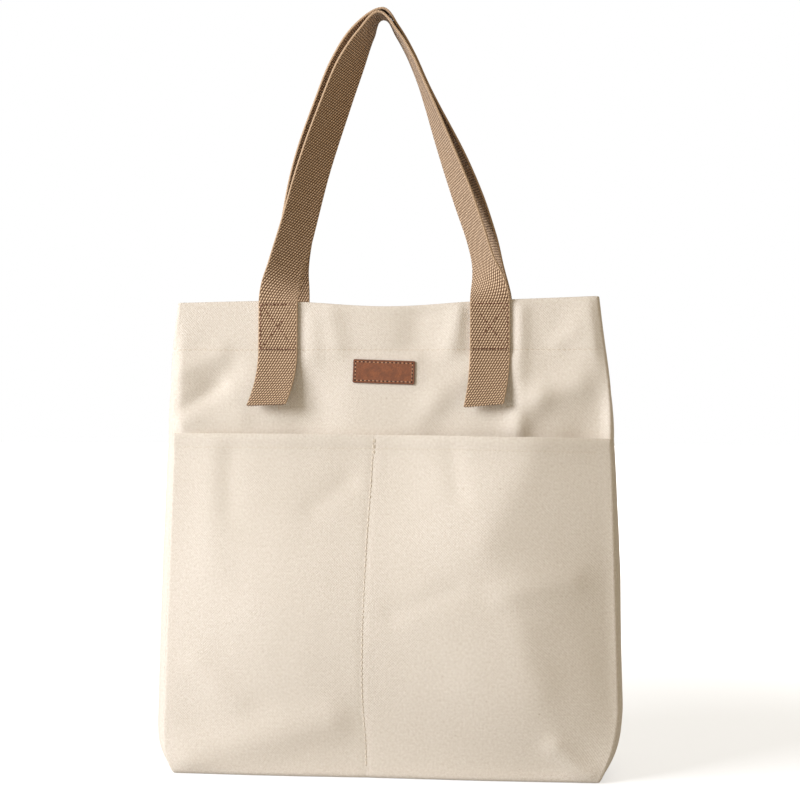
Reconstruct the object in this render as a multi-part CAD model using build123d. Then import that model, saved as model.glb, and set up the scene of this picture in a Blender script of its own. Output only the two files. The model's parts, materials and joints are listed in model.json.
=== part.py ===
from build123d import *
import math
import os

# Canvas tote bag. Two canvas walls lean together towards the mouth and are joined by
# two side gussets and a base. A divided pocket is sewn over the front wall, a leather
# label above it, and a webbing handle is sewn to the outside of each wall.
# Millimetres, +Z up. The origin is the middle of the base, on the surface that the bag
# stands on. The front wall faces -Y, and X runs to the right as seen from the front.

# Canvas body
CANVAS = 1.0
BODY_HEIGHT = 380.0
BASE_DEPTH = 100.0
MOUTH_DEPTH = 60.0
BASE_HALF_WIDTH = 166.0
BILGE_HALF_WIDTH = 180.0
BILGE_HEIGHT = 36.0
MOUTH_HALF_WIDTH = 171.0
HEM_DEPTH = 38.0
HEM_INSET = 8.0
WALL_BOW = 14.0
EDGE_LAND = 16.0

# Side gussets: how far the middle stands out past the wall's edge, and folds in at the mouth
GUSSET_BULGE = 10.0
GUSSET_PLEAT = 38.0
PLEAT_LENGTH = 110.0

# Front pocket: its mouth lies this far below the rim, and the walls bow out from below it
POCKET_DROP = 108.0
BOW_DROP = 22.0
POCKET_DIVIDER_X = -10.0
POCKET_SEAM = 6.0
POCKET_GAPE = 9.0
POCKET_FOOT_GAPE = 1.0

# Label
LABEL_WIDTH = 50.0
LABEL_HEIGHT = 19.0
LABEL_THICKNESS = 1.6
LABEL_CORNER = 1.2
LABEL_DROP = 55.0

# Webbing handles
WEBBING_WIDTH = 32.0
WEBBING_THICKNESS = 2.0
HANDLE_HALF_SPREAD = 85.0
HANDLE_RISE = 236.0
HANDLE_TOP_OFFSET = 3.0
BACK_HANDLE_LIFT = 8.0
HANDLE_SWAY = 14.0
HANDLE_SECTIONS = 49
TAIL_LENGTH = 45.0
TAIL_KICK = 10.0
TAIL_SECTIONS = 6
FRONT_LEFT_TAIL_SHIFT = -9.0
FRONT_RIGHT_TAIL_SHIFT = -5.0
BACK_TAIL_SHIFT = 4.0

# Seam binding tape inside the bag
BINDING_WIDTH = 10.0
BINDING_THICKNESS = 2.0
BINDING_INSET = 4.0

# Clearances: between sewn pieces that stay put, and between pieces that move apart
SEAM_GAP = 0.1
FLEX_GAP = 0.3

FRONT = -1
BACK = 1
LEFT = -1
RIGHT = 1

# The handles' middle lines, chosen by eye: each leg's points from the foot up, as shares of the
# half spread and of the rise, and where the top lies. The back handle lies over the front one.
LEG_ROUTES = {
    (FRONT, LEFT): [
        (1, 0), (0.94, 0.125), (0.86, 0.242), (0.708, 0.472),
        (0.5, 0.706), (0.378, 0.823), (0.216, 0.94),
    ],
    (FRONT, RIGHT): [
        (1, 0), (0.94, 0.125), (0.852, 0.242), (0.622, 0.472),
        (0.38, 0.706), (0.236, 0.844), (0.1, 0.94),
    ],
    (BACK, LEFT): [
        (1, 0), (0.99, 0.125), (0.936, 0.242), (0.803, 0.472),
        (0.578, 0.706), (0.449, 0.823), (0.28, 0.94),
    ],
    (BACK, RIGHT): [
        (1, 0), (0.95, 0.125), (0.876, 0.242), (0.675, 0.472),
        (0.447, 0.706), (0.3, 0.844), (0.16, 0.94),
    ],
}
TOP_SHARE = {FRONT: -0.08, BACK: -0.05}

LEAN = math.atan((BASE_DEPTH - MOUTH_DEPTH) / 2 / BODY_HEIGHT)
WALL_LENGTH = BODY_HEIGHT / math.cos(LEAN)
POCKET_HEIGHT = BODY_HEIGHT - POCKET_DROP
BOW_TOP = POCKET_HEIGHT - BOW_DROP
BOW_STEPS = 6


def wall_plane(side):
    """The outside face of a wall: local X across, local Y up the wall, local Z outwards."""
    outwards = (0, side * math.cos(LEAN), math.sin(LEAN))
    return Plane(origin=(0, side * BASE_DEPTH / 2, 0), x_dir=(-side, 0, 0), z_dir=outwards)


def up_the_wall(height):
    """Distance up the leaning wall to a height above the floor."""
    return height / math.cos(LEAN)


def half_width(height):
    """Half of a wall's width at a height above the floor."""
    if height < BILGE_HEIGHT:
        share = height / BILGE_HEIGHT
        return BASE_HALF_WIDTH + share * (BILGE_HALF_WIDTH - BASE_HALF_WIDTH)
    share = (height - BILGE_HEIGHT) / (BODY_HEIGHT - BILGE_HEIGHT)
    return BILGE_HALF_WIDTH + share * (MOUTH_HALF_WIDTH - BILGE_HALF_WIDTH)


def half_depth(height):
    """From the middle of the bag to the inside face of a wall, at a height."""
    share = height / BODY_HEIGHT
    outside = (BASE_DEPTH + share * (MOUTH_DEPTH - BASE_DEPTH)) / 2
    return outside - CANVAS / math.cos(LEAN)


def wall_levels(top):
    """Heights of the cuts that a wall or the pocket is lofted through."""
    step = (BOW_TOP - BILGE_HEIGHT) / BOW_STEPS
    return [FLEX_GAP] + [BILGE_HEIGHT + step * i for i in range(BOW_STEPS + 1)] + [top]


def wall_bow(height):
    """How far the middle of a wall stands out at a height."""
    if height >= BOW_TOP:
        return 0
    return WALL_BOW * math.sin(math.pi * height / BOW_TOP) ** 2


def bow_reach(height):
    """How far across the wall its bow reaches, from the middle to the flat land at the edge."""
    return half_width(height) - EDGE_LAND


def bowed_run(height, start, end, gape, lift):
    """A run of cloth between two places across a wall, standing off its bow by a gape."""
    bow, reach = wall_bow(height), bow_reach(height)
    low, high = [bow * (1 - (x / reach) ** 2) + lift for x in (start, end)]
    slope = -2 * bow * start / reach**2
    crown = low + slope * (end - start) / 2 + 2 * gape
    return Bezier((start, low), ((start + end) / 2, crown), (end, high))


def cloth_face(height, runs, gape, lift):
    """One face of a cloth on a wall, cut at a height: bowed runs with flat lands between."""
    edge = half_width(height)
    bows = [bowed_run(height, start, end, gape, lift) for start, end in runs]
    ends = [Vector(-edge, lift), *[bow @ share for bow in bows for share in (0, 1)], Vector(edge, lift)]
    return bows + [Line(a, b) for a, b in zip(ends[::2], ends[1::2])]


def cloth_cut(height, runs, gape, inside):
    """A cut at a height through a cloth on a wall, from how far out its inside face lies."""
    edge, outside = half_width(height), inside + CANVAS
    sides = [Line((x, inside), (x, outside)) for x in (-edge, edge)]
    faces = cloth_face(height, runs, gape, inside) + cloth_face(height, runs, gape, outside)
    level = Plane(origin=(0, up_the_wall(height), 0), x_dir=(1, 0, 0), z_dir=(0, -1, 0))
    return level * make_face(faces + sides)


def wall_outline(low, high, inset):
    """A wall's outline between two heights, drawn in from its side edges."""
    levels = [low] + [BILGE_HEIGHT] * (low < BILGE_HEIGHT < high) + [high]
    right = [(half_width(z) - inset, up_the_wall(z)) for z in levels]
    left = [(-x, y) for x, y in reversed(right)]
    return make_face(Polyline(*right, *left, close=True))


# Walls


def canvas_wall(side):
    """A canvas wall, bowed out below the pocket's mouth, with its top turned in as a hem."""
    cuts = [cloth_cut(z, [(-bow_reach(z), bow_reach(z))], 0, -CANVAS) for z in wall_levels(BODY_HEIGHT)]
    hem = extrude(wall_outline(BODY_HEIGHT - HEM_DEPTH, BODY_HEIGHT, HEM_INSET), -2 * CANVAS)
    return wall_plane(side) * (loft(cuts, ruled=True) + hem)


def seam_binding(side):
    """Tape over the raw edges along a wall's two sides and foot, on its inside face."""
    foot, top = BINDING_INSET, BODY_HEIGHT - HEM_DEPTH - BINDING_INSET
    around = wall_outline(foot, top, BINDING_INSET)
    window = wall_outline(foot + BINDING_WIDTH, top + BINDING_WIDTH, BINDING_INSET + BINDING_WIDTH)
    tape = extrude(around - window, -BINDING_THICKNESS)
    return wall_plane(side) * Pos(0, 0, -CANVAS) * tape


# Gussets and base


def gusset_crease(height):
    """How far a gusset's middle stands out past its edges, or folds in near the mouth."""
    if height <= BILGE_HEIGHT:
        return GUSSET_BULGE * height / BILGE_HEIGHT
    share = max(0, 1 - (BODY_HEIGHT - height) / PLEAT_LENGTH)
    return GUSSET_BULGE - share**2 * (GUSSET_BULGE + GUSSET_PLEAT)


def gusset_section(hand, height):
    """A gusset's cut at a height: rounded where it stands out, creased where it folds in."""
    crease, depth = gusset_crease(height), half_depth(height)
    shoulder = crease * (0.75 if crease > 0 else 0.5)
    front, back = -depth + SEAM_GAP, depth - FLEX_GAP
    stations = [(0, front), (shoulder, front / 2), (crease, 0), (shoulder, back / 2), (0, back)]
    outside = [(half_width(height) + x, y) for x, y in stations]
    skew = CANVAS * math.hypot(1, crease / depth)
    inside = [(x - skew, y) for x, y in reversed(outside)]
    corners = [(hand * x, y) for x, y in outside + inside]
    return Pos(0, 0, height) * make_face(Polyline(*corners, close=True))


def side_gusset(hand):
    """A side gusset, full near the floor and pleated inwards at the pinched mouth."""
    pleat_steps = 4
    heights = [SEAM_GAP, BILGE_HEIGHT]
    heights += [BODY_HEIGHT - PLEAT_LENGTH * (1 - i / pleat_steps) for i in range(pleat_steps + 1)]
    return loft([gusset_section(hand, z) for z in heights], ruled=True)


def base_panel():
    """The flat base, between the two walls and the two gussets."""
    width = 2 * (BASE_HALF_WIDTH - CANVAS - SEAM_GAP)
    front, back = -half_depth(0) + SEAM_GAP, half_depth(0) - FLEX_GAP
    outline = Pos(0, (front + back) / 2) * Rectangle(width, back - front)
    return extrude(outline, CANVAS)


def base_binding(hand):
    """Tape over the seam between the base and a gusset."""
    length = 2 * (half_depth(0) - BINDING_INSET)
    middle = BASE_HALF_WIDTH - CANVAS - BINDING_INSET - BINDING_WIDTH / 2
    strip = Pos(hand * middle, 0, CANVAS) * Rectangle(BINDING_WIDTH, length)
    return extrude(strip, BINDING_THICKNESS)


# Front pocket and label


def front_pocket():
    """The pocket cloth, sewn down the sides, along the foot and down the divider."""
    cuts = []
    for height in wall_levels(POCKET_HEIGHT):
        gape = POCKET_FOOT_GAPE + (POCKET_GAPE - POCKET_FOOT_GAPE) * height / POCKET_HEIGHT
        divider = [POCKET_DIVIDER_X - POCKET_SEAM / 2, POCKET_DIVIDER_X + POCKET_SEAM / 2]
        cells = [(-bow_reach(height), divider[0]), (divider[1], bow_reach(height))]
        cuts.append(cloth_cut(height, cells, gape, SEAM_GAP))
    return wall_plane(FRONT) * loft(cuts, ruled=True)


def label_patch():
    """The leather label, flat on the front wall below the hem."""
    outline = RectangleRounded(LABEL_WIDTH, LABEL_HEIGHT, LABEL_CORNER)
    place = Pos(0, up_the_wall(BODY_HEIGHT - LABEL_DROP), 0)
    return wall_plane(FRONT) * place * extrude(outline, LABEL_THICKNESS)


# Webbing handles


def webbing_anchor(side, hand):
    """The end of a handle that is sewn over the hem."""
    patch = Rectangle(WEBBING_WIDTH, HEM_DEPTH, align=(Align.CENTER, Align.MAX))
    place = Pos(-side * hand * HANDLE_HALF_SPREAD, WALL_LENGTH, 0)
    return wall_plane(side) * place * extrude(patch, WEBBING_THICKNESS)


def webbing_cut(middle, across, along):
    """A cut square to the webbing, at a point of its middle line."""
    across = (across - along * across.dot(along)).normalized()
    return Plane(origin=middle, x_dir=across, z_dir=along) * Rectangle(WEBBING_WIDTH, WEBBING_THICKNESS)


def handle_route(side, lift):
    """The middle line of a handle, from its left foot over the top to its right foot."""
    plane = wall_plane(side)
    foot = plane.from_local_coords(Vector(0, WALL_LENGTH + FLEX_GAP, WEBBING_THICKNESS / 2))
    top_y = side * HANDLE_TOP_OFFSET

    def at(spread, rise):
        y = foot.Y + rise * (top_y - foot.Y)
        return Vector(spread * HANDLE_HALF_SPREAD, y, foot.Z + rise * (HANDLE_RISE + lift))

    left = [at(-spread, rise) for spread, rise in LEG_ROUTES[side, LEFT]]
    right = [at(spread, rise) for spread, rise in reversed(LEG_ROUTES[side, RIGHT])]
    return Spline(*left, at(TOP_SHARE[side], 1), *right, tangents=(plane.y_dir, -plane.y_dir))


def handle_loop(side, lift):
    """The free part of a handle, turning from flat on the wall to flat over a hook."""
    route = handle_route(side, lift)
    cuts = []
    for i in range(HANDLE_SECTIONS):
        share = i / (HANDLE_SECTIONS - 1)
        swing = 2 * share - 1
        turn = 90 + 90 * math.copysign(abs(swing) ** 1.5, swing)
        turn = math.radians(turn - HANDLE_SWAY * math.sin(math.pi * share))
        front_edge = Vector(-math.cos(turn), -math.sin(turn), 0)
        cuts.append(webbing_cut(route @ share, front_edge, route % share))
    return loft(cuts, ruled=True)


def webbing_tail(side, hand, shift):
    """The loose end of a handle below the hem's stitching, which stands off the wall."""
    plane = wall_plane(side)
    top = Vector(-side * hand * HANDLE_HALF_SPREAD, WALL_LENGTH - HEM_DEPTH - FLEX_GAP, 0)
    lift = WEBBING_THICKNESS / 2 + FLEX_GAP

    def at(share):
        drift = -side * shift * share**2
        local = top + Vector(drift, -share * TAIL_LENGTH, lift + TAIL_KICK * share**1.5)
        return plane.from_local_coords(local)

    cuts = []
    for i in range(TAIL_SECTIONS):
        share = i / (TAIL_SECTIONS - 1)
        step = 0.01 / TAIL_SECTIONS
        along = plane.y_dir * -1 if i == 0 else at(share) - at(share - step)
        level = along - plane.x_dir * along.dot(plane.x_dir)
        cuts.append(webbing_cut(at(share), plane.x_dir, level.normalized()))
    return loft(cuts, ruled=True)


def tote_bag():
    """Every piece of the bag by its node name."""
    pieces = {
        "front_panel": canvas_wall(FRONT),
        "back_panel": canvas_wall(BACK),
        "left_gusset": side_gusset(LEFT),
        "right_gusset": side_gusset(RIGHT),
        "base_panel": base_panel(),
        "front_pocket": front_pocket(),
        "label_patch": label_patch(),
        "front_seam_binding": seam_binding(FRONT),
        "back_seam_binding": seam_binding(BACK),
        "left_base_binding": base_binding(LEFT),
        "right_base_binding": base_binding(RIGHT),
        "front_handle_loop": handle_loop(FRONT, 0),
        "back_handle_loop": handle_loop(BACK, BACK_HANDLE_LIFT),
    }
    tail_shifts = {
        ("front", "left"): FRONT_LEFT_TAIL_SHIFT,
        ("front", "right"): FRONT_RIGHT_TAIL_SHIFT,
        ("back", "left"): BACK_TAIL_SHIFT,
        ("back", "right"): BACK_TAIL_SHIFT,
    }
    for (wall, end), shift in tail_shifts.items():
        side = FRONT if wall == "front" else BACK
        hand = LEFT if end == "left" else RIGHT
        pieces[f"{wall}_{end}_handle_anchor"] = webbing_anchor(side, hand)
        pieces[f"{wall}_{end}_handle_tail"] = webbing_tail(side, hand, shift)
    return pieces


os.makedirs("parts", exist_ok=True)
for name, piece in tote_bag().items():
    export_step(piece, f"parts/{name}.step")
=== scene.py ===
# %% [markdown]
# A canvas tote bag, dressed around its packed construction model.
#
# The construction model holds the sizes, the hinges and plain solids. Here each plain solid
# is exchanged for cloth, webbing or leather that looks sewn. The frame is loaded first,
# because every later size and place is read from it.

# %% Load the frame
import json
import math

import bmesh
import bpy
from mathutils import Matrix, Vector, geometry, noise


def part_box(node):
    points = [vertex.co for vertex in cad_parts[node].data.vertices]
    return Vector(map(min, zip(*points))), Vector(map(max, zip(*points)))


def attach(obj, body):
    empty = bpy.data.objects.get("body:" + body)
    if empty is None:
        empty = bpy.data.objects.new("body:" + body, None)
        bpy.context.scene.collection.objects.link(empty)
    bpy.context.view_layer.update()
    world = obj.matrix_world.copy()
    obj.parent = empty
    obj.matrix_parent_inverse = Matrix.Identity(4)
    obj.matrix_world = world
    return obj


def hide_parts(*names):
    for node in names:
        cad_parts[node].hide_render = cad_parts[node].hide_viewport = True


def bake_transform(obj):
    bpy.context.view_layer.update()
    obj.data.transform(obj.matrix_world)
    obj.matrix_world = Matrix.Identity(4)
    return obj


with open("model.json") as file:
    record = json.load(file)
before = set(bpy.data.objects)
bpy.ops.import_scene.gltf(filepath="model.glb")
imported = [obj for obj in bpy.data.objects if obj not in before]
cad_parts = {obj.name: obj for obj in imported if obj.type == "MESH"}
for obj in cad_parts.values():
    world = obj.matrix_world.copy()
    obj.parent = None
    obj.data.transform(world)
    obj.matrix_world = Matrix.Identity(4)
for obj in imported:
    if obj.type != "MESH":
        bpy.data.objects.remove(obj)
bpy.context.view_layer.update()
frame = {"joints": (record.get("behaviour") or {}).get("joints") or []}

MM = 0.001
FRONT, BACK = -1, 1
LEFT, RIGHT = -1, 1
WALLS = ((FRONT, "front", "bag"), (BACK, "back", "back_wall"))
ENDS = ((LEFT, "left"), (RIGHT, "right"))
JOINTS = {joint["name"]: joint for joint in frame["joints"]}

# %% [markdown]
# The main sizes of the bag. What the frame knows is taken from it: the rim's height, the
# widths, the hinge at the back foot and the places where the handles are sewn. What only
# the finished cloth has, such as its thickness and the rolls at its seams, is named here.

# %% Sizes
RIM_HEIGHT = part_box("front_panel")[1].z
BILGE_HALF_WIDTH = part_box("front_panel")[1].x
BASE_SEAM_GAP = 1.1 * MM
BASE_HALF_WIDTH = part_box("base_panel")[1].x + BASE_SEAM_GAP
MOUTH_HALF_WIDTH = 171 * MM
BILGE_HEIGHT = 36 * MM
BASE_HALF_DEPTH = JOINTS["mouth_open"]["pos_m"][1]
MOUTH_HALF_DEPTH = 30 * MM
POCKET_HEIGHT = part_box("front_pocket")[1].z
HEM_DEPTH = 38 * MM
WALL_BOW = 14 * MM
BOW_TOP = 250 * MM

WALL_LEAN = math.atan((BASE_HALF_DEPTH - MOUTH_HALF_DEPTH) / RIM_HEIGHT)
WALL_LENGTH = RIM_HEIGHT / math.cos(WALL_LEAN)

CANVAS = 0.9 * MM
EDGE_ROLL = 3.0 * MM
FOOT_ROLL = 4.0 * MM
FOOT_TUCK = 5.0 * MM
RIM_FOLD = 1.3 * MM
FLOOR_GAP = 0.2 * MM
print(f"wall {2 * BILGE_HALF_WIDTH:.3f} x {RIM_HEIGHT:.3f} m, leaning {math.degrees(WALL_LEAN):.1f} degrees")

# %% [markdown]
# The camera stands a little to the right of the bag and looks almost level, through a
# moderate telephoto lens. It could be moved about by hand in the editor. Numbers are better
# here, because every later piece is then looked at from the photograph's own angle.

# %% Camera
CAMERA_TURN = math.radians(6.18)
CAMERA_DISTANCE = 1.3
CAMERA_HEIGHT = 0.323
CAMERA_AIM = Vector((0.0125, -0.04, 0.3018))
CAMERA_LENS = 73.1
CAMERA_SENSOR = 36


def turn_to(holder, target):
    """Points a camera or lamp at a place and puts it in the scene."""
    holder.rotation_euler = (target - holder.location).to_track_quat("-Z", "Y").to_euler()
    bpy.context.scene.collection.objects.link(holder)


camera_data = bpy.data.cameras.new("photo_camera")
camera_data.sensor_width = CAMERA_SENSOR
camera_data.lens = CAMERA_LENS
camera = bpy.data.objects.new("photo_camera", camera_data)
away = Vector((math.sin(CAMERA_TURN), -math.cos(CAMERA_TURN), 0)) * CAMERA_DISTANCE
camera.location = Vector((0, CAMERA_AIM.y, CAMERA_HEIGHT)) + away
turn_to(camera, CAMERA_AIM)
bpy.context.scene.camera = camera
bpy.context.scene.view_settings.view_transform = "Standard"
print("camera at", [round(c, 3) for c in camera.location])

# %% [markdown]
# Soft studio light. A large lamp stands well to the left, so that its light grazes the front
# and folds fall into shade on their right side. A weak warm lamp fills the right, and one
# behind lights the far side. Area lamps are chosen over point lamps, because a lamp's own
# size is what makes the edge of a shadow soft. The world adds an even glow later.

# %% Lamps
LAMP_TARGET = Vector((0, 0, 0.25))


def studio_lamp(name, place, size, power, colour):
    """A square soft lamp that faces the bag."""
    lamp = bpy.data.lights.new(name, "AREA")
    lamp.size = size
    lamp.energy = power
    lamp.color = colour
    holder = bpy.data.objects.new(name, lamp)
    holder.location = place
    turn_to(holder, LAMP_TARGET)


studio_lamp("key_lamp", place=(-2.1, -1.45, 1.2), size=1.4, power=87, colour=(0.975, 0.985, 1.06))
studio_lamp("fill_lamp", place=(1.8, -1.4, 0.7), size=1.4, power=5, colour=(1.0, 0.78, 0.56))
studio_lamp("back_lamp", place=(0.6, 2.2, 1.5), size=1.2, power=16, colour=(1.0, 0.98, 0.95))

# %% [markdown]
# Shader nodes are easier to read as formulas than as wiring, so a few small helpers make
# them: math, a colour mix, noise, a mask, a bump and an empty node group. An input may be
# another node's socket or a plain number. A socket knows which node tree it belongs to, so
# the tree need not be named again.

# %% Node helpers
MIX_SHARE, MIX_FIRST, MIX_SECOND, MIX_COLOUR = 0, 6, 7, 2


def feed(socket, value):
    """Links a socket to another one, or sets it to a plain value."""
    if isinstance(value, bpy.types.NodeSocket):
        socket.id_data.links.new(value, socket)
    else:
        socket.default_value = value


def settle(node, values):
    """Links or sets several inputs of a node by their names."""
    for name, value in values.items():
        feed(node.inputs[name], value)


def sums(operation, *values):
    """A math node over sockets and numbers, in the tree of its first socket."""
    tree = next(value.id_data for value in values if isinstance(value, bpy.types.NodeSocket))
    node = tree.nodes.new("ShaderNodeMath")
    node.operation = operation
    for socket, value in zip(node.inputs, values):
        feed(socket, value)
    return node.outputs[0]


def scaled(value, factor, offset):
    """A value times a factor, plus an offset."""
    return sums("MULTIPLY_ADD", value, factor, offset)


def clamped(value):
    """A value kept between 0 and 1."""
    return sums("MINIMUM", sums("MAXIMUM", value, 0), 1)


def mixed(share, first, second):
    """A colour between two colours."""
    node = share.id_data.nodes.new("ShaderNodeMix")
    node.data_type = "RGBA"
    for index, value in ((MIX_SHARE, share), (MIX_FIRST, first), (MIX_SECOND, second)):
        feed(node.inputs[index], value)
    return node.outputs[MIX_COLOUR]


def axes(place):
    """The parts of a place along X, Y and Z."""
    node = place.id_data.nodes.new("ShaderNodeSeparateXYZ")
    feed(node.inputs[0], place)
    return node.outputs


def stretched_noise(place, scale, detail):
    """Noise over a place, stretched by a scale along each axis."""
    nodes = place.id_data.nodes
    mapping = nodes.new("ShaderNodeMapping")
    settle(mapping, {"Vector": place, "Scale": scale})
    node = nodes.new("ShaderNodeTexNoise")
    settle(node, {"Vector": mapping.outputs[0], "Scale": 1.0, "Detail": detail})
    return node.outputs["Fac"]


def masked(value, low, high):
    """0 below low, 1 above high, smooth between."""
    node = value.id_data.nodes.new("ShaderNodeMapRange")
    node.interpolation_type = "SMOOTHSTEP"
    settle(node, {"Value": value, "From Min": low, "From Max": high})
    return node.outputs["Result"]


def new_group(name, inputs, outputs):
    """An empty shader node group with its sockets."""
    tree = bpy.data.node_groups.new(name, "ShaderNodeTree")
    for label, kind in inputs:
        tree.interface.new_socket(label, in_out="INPUT", socket_type=kind)
    for label in outputs:
        tree.interface.new_socket(label, in_out="OUTPUT", socket_type="NodeSocketFloat")
    return tree, tree.nodes.new("NodeGroupInput").outputs, tree.nodes.new("NodeGroupOutput").inputs


def placed_group(group, inputs):
    """A node group in a material, fed with its inputs; gives its outputs."""
    node = inputs["Cloth"].id_data.nodes.new("ShaderNodeGroup")
    node.node_tree = group
    settle(node, inputs)
    return node.outputs


def new_material(name, uv_map=None):
    """A material, its shader and the place that its pattern follows."""
    material = bpy.data.materials.new(name)
    material.use_nodes = True
    nodes = material.node_tree.nodes
    if uv_map:
        source = nodes.new("ShaderNodeUVMap")
        source.uv_map = uv_map
        place = source.outputs["UV"]
    else:
        place = nodes.new("ShaderNodeTexCoord").outputs["Object"]
    return material, nodes["Principled BSDF"], place


def bumped(shader, height, distance, strength):
    """Raises a shader's surface by a height."""
    node = shader.id_data.nodes.new("ShaderNodeBump")
    settle(node, {"Height": height, "Distance": distance, "Strength": strength})
    feed(shader.inputs["Normal"], node.outputs["Normal"])


print("node helpers ready")

# %% [markdown]
# The world and the floor. Camera rays that miss everything see plain white, and so do
# mirror and glass rays, while the bag itself is lit by a quieter warm glow. The floor is a
# pale matt sheet that keeps the shadow. It could be lit until it is white, but the bag would
# then be too bright, so it is lifted to white for the camera alone, more so farther away,
# where the lamps no longer reach.

# %% World and floor
WHITE = (1, 1, 1, 1)
GLOW_COLOUR = (1.0, 0.84, 0.55, 1)
GLOW_STRENGTH = 0.262
FLOOR_DARK, FLOOR_LIGHT = (0.58, 0.58, 0.575, 1), (0.60, 0.60, 0.595, 1)
FLOOR_ROUGHNESS = 0.9
FLOOR_LIFT = 0.6
FLOOR_FAR_LIFT = 0.8
FLOOR_FADE_START, FLOOR_FADE_END = 0.35, 1.3
FLOOR_HALF_SIZE = 6.0

world = bpy.data.worlds.new("studio_world")
world.use_nodes = True
bpy.context.scene.world = world
nodes = world.node_tree.nodes
glow = nodes["Background"]
settle(glow, {"Color": GLOW_COLOUR, "Strength": GLOW_STRENGTH})
white = nodes.new("ShaderNodeBackground")
feed(white.inputs["Color"], WHITE)
ray = nodes.new("ShaderNodeLightPath").outputs
mirrored = sums("MAXIMUM", ray["Is Glossy Ray"], ray["Is Transmission Ray"])
choose = nodes.new("ShaderNodeMixShader")
feed(choose.inputs["Fac"], sums("MAXIMUM", ray["Is Camera Ray"], mirrored))
feed(choose.inputs[1], glow.outputs[0])
feed(choose.inputs[2], white.outputs[0])
feed(nodes["World Output"].inputs["Surface"], choose.outputs[0])

floor_material, shader, place = new_material("pale_floor")
nodes = place.id_data.nodes
grey = stretched_noise(place, (3, 3, 3), 2)
ray = nodes.new("ShaderNodeLightPath").outputs
distance = nodes.new("ShaderNodeVectorMath")
distance.operation = "LENGTH"
feed(distance.inputs[0], place)
far = masked(distance.outputs["Value"], FLOOR_FADE_START, FLOOR_FADE_END)
lift = scaled(far, FLOOR_FAR_LIFT, FLOOR_LIFT)
settle(shader, {
    "Base Color": mixed(grey, FLOOR_DARK, FLOOR_LIGHT),
    "Roughness": FLOOR_ROUGHNESS,
    "Emission Color": WHITE,
    "Emission Strength": sums("MULTIPLY", ray["Is Camera Ray"], lift),
})

floor_shape = bmesh.new()
bmesh.ops.create_grid(floor_shape, x_segments=1, y_segments=1, size=FLOOR_HALF_SIZE)
floor_mesh = bpy.data.meshes.new("floor")
floor_shape.to_mesh(floor_mesh)
floor_shape.free()
floor_mesh.materials.append(floor_material)
floor = bpy.data.objects.new("floor", floor_mesh)
bpy.context.scene.collection.objects.link(floor)
print("floor", 2 * FLOOR_HALF_SIZE, "m wide")

# %% [markdown]
# Canvas is a plain weave: two sets of yarns that take turns on top. The yarns could be
# modelled, but there are hundreds of thousands of crossings, so a formula draws them. The
# product of two sines is positive where the warp is up and negative where the weft is up, and
# the absolute sines round each yarn. The group also gives a slub mask, thick and thin
# stretches along single yarns, which keeps the cotton from looking printed. Canvas and tape
# share the group, each with its own yarn pitch.

# %% Plain weave group
YARN_LEVEL, YARN_DIVE = 0.6, 0.4
CROWN_SHARE = 0.25
CHECKER = (0.3, 0.4)
WARP_SLUB, WEFT_SLUB = (700, 420, 1), (420, 700, 1)

plain_weave, given, made = new_group(
    "plain_weave", [("Cloth", "NodeSocketVector"), ("Pitch", "NodeSocketFloat")], ["Height", "Slub"]
)
along = axes(given["Cloth"])
per_yarn = sums("DIVIDE", math.pi, given["Pitch"])
warp, weft = (sums("SINE", sums("MULTIPLY", along[axis], per_yarn)) for axis in "XY")
over = sums("MULTIPLY", warp, weft)
warp_yarn = sums("MULTIPLY", sums("ABSOLUTE", warp), scaled(over, YARN_DIVE, YARN_LEVEL))
weft_yarn = sums("MULTIPLY", sums("ABSOLUTE", weft), scaled(over, -YARN_DIVE, YARN_LEVEL))
crown = sums("MAXIMUM", warp_yarn, weft_yarn)
feed(made["Height"], scaled(crown, CROWN_SHARE, scaled(over, *CHECKER)))
warp_slub, weft_slub = (stretched_noise(given["Cloth"], scale, 2) for scale in (WARP_SLUB, WEFT_SLUB))
feed(made["Slub"], sums("MULTIPLY", sums("ADD", warp_slub, weft_slub), 0.5))
print("plain weave:", len(plain_weave.nodes), "nodes")

# %% [markdown]
# Webbing is heavier: rows of slanted yarn floats, each row set off by half a float from the
# next, with dark gaps where the yarns dive under. As for canvas, a formula is lighter than
# modelled yarns and follows the strap through every turn. The group works out where a point
# lies inside its float. Beyond the last float runs the selvage, a plain edge of short cross
# yarns.

# %% Webbing weave group
FLOAT_PITCH = 2.2 * MM
FLOAT_ROW = 2.1 * MM
FLOAT_SLANT = 0.5
FLOAT_ROUNDNESS = 0.8
SELVAGE_START, SELVAGE_END = 15.1 * MM, 15.5 * MM
SELVAGE_PITCH = 1.3 * MM
SELVAGE_HEIGHT = (0.25, 0.65)
FUZZ_SCALE = (1500, 1500, 1)

webbing_weave, given, made = new_group(
    "webbing_weave", [("Cloth", "NodeSocketVector")], ["Height", "Selvage", "Fuzz"]
)
along = axes(given["Cloth"])
row = sums("DIVIDE", along["Y"], FLOAT_ROW)
row_share = sums("FRACT", row)
offset = sums("MULTIPLY", sums("PINGPONG", sums("FLOOR", row), 1), 0.5)
column = sums("DIVIDE", along["X"], FLOAT_PITCH)
slanted = scaled(row_share, FLOAT_SLANT, sums("ADD", column, offset))
ridge = scaled(sums("COSINE", sums("MULTIPLY", slanted, 2 * math.pi)), 0.5, 0.5)
dive = sums("SINE", sums("MULTIPLY", row_share, math.pi))
floats = sums("MULTIPLY", ridge, sums("POWER", dive, FLOAT_ROUNDNESS))
selvage = masked(sums("ABSOLUTE", along["X"]), SELVAGE_START, SELVAGE_END)
cross = sums("COSINE", sums("MULTIPLY", along["Y"], 2 * math.pi / SELVAGE_PITCH))
kept = sums("MULTIPLY", floats, sums("SUBTRACT", 1, selvage))
feed(made["Height"], scaled(scaled(cross, *SELVAGE_HEIGHT), selvage, kept))
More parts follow.
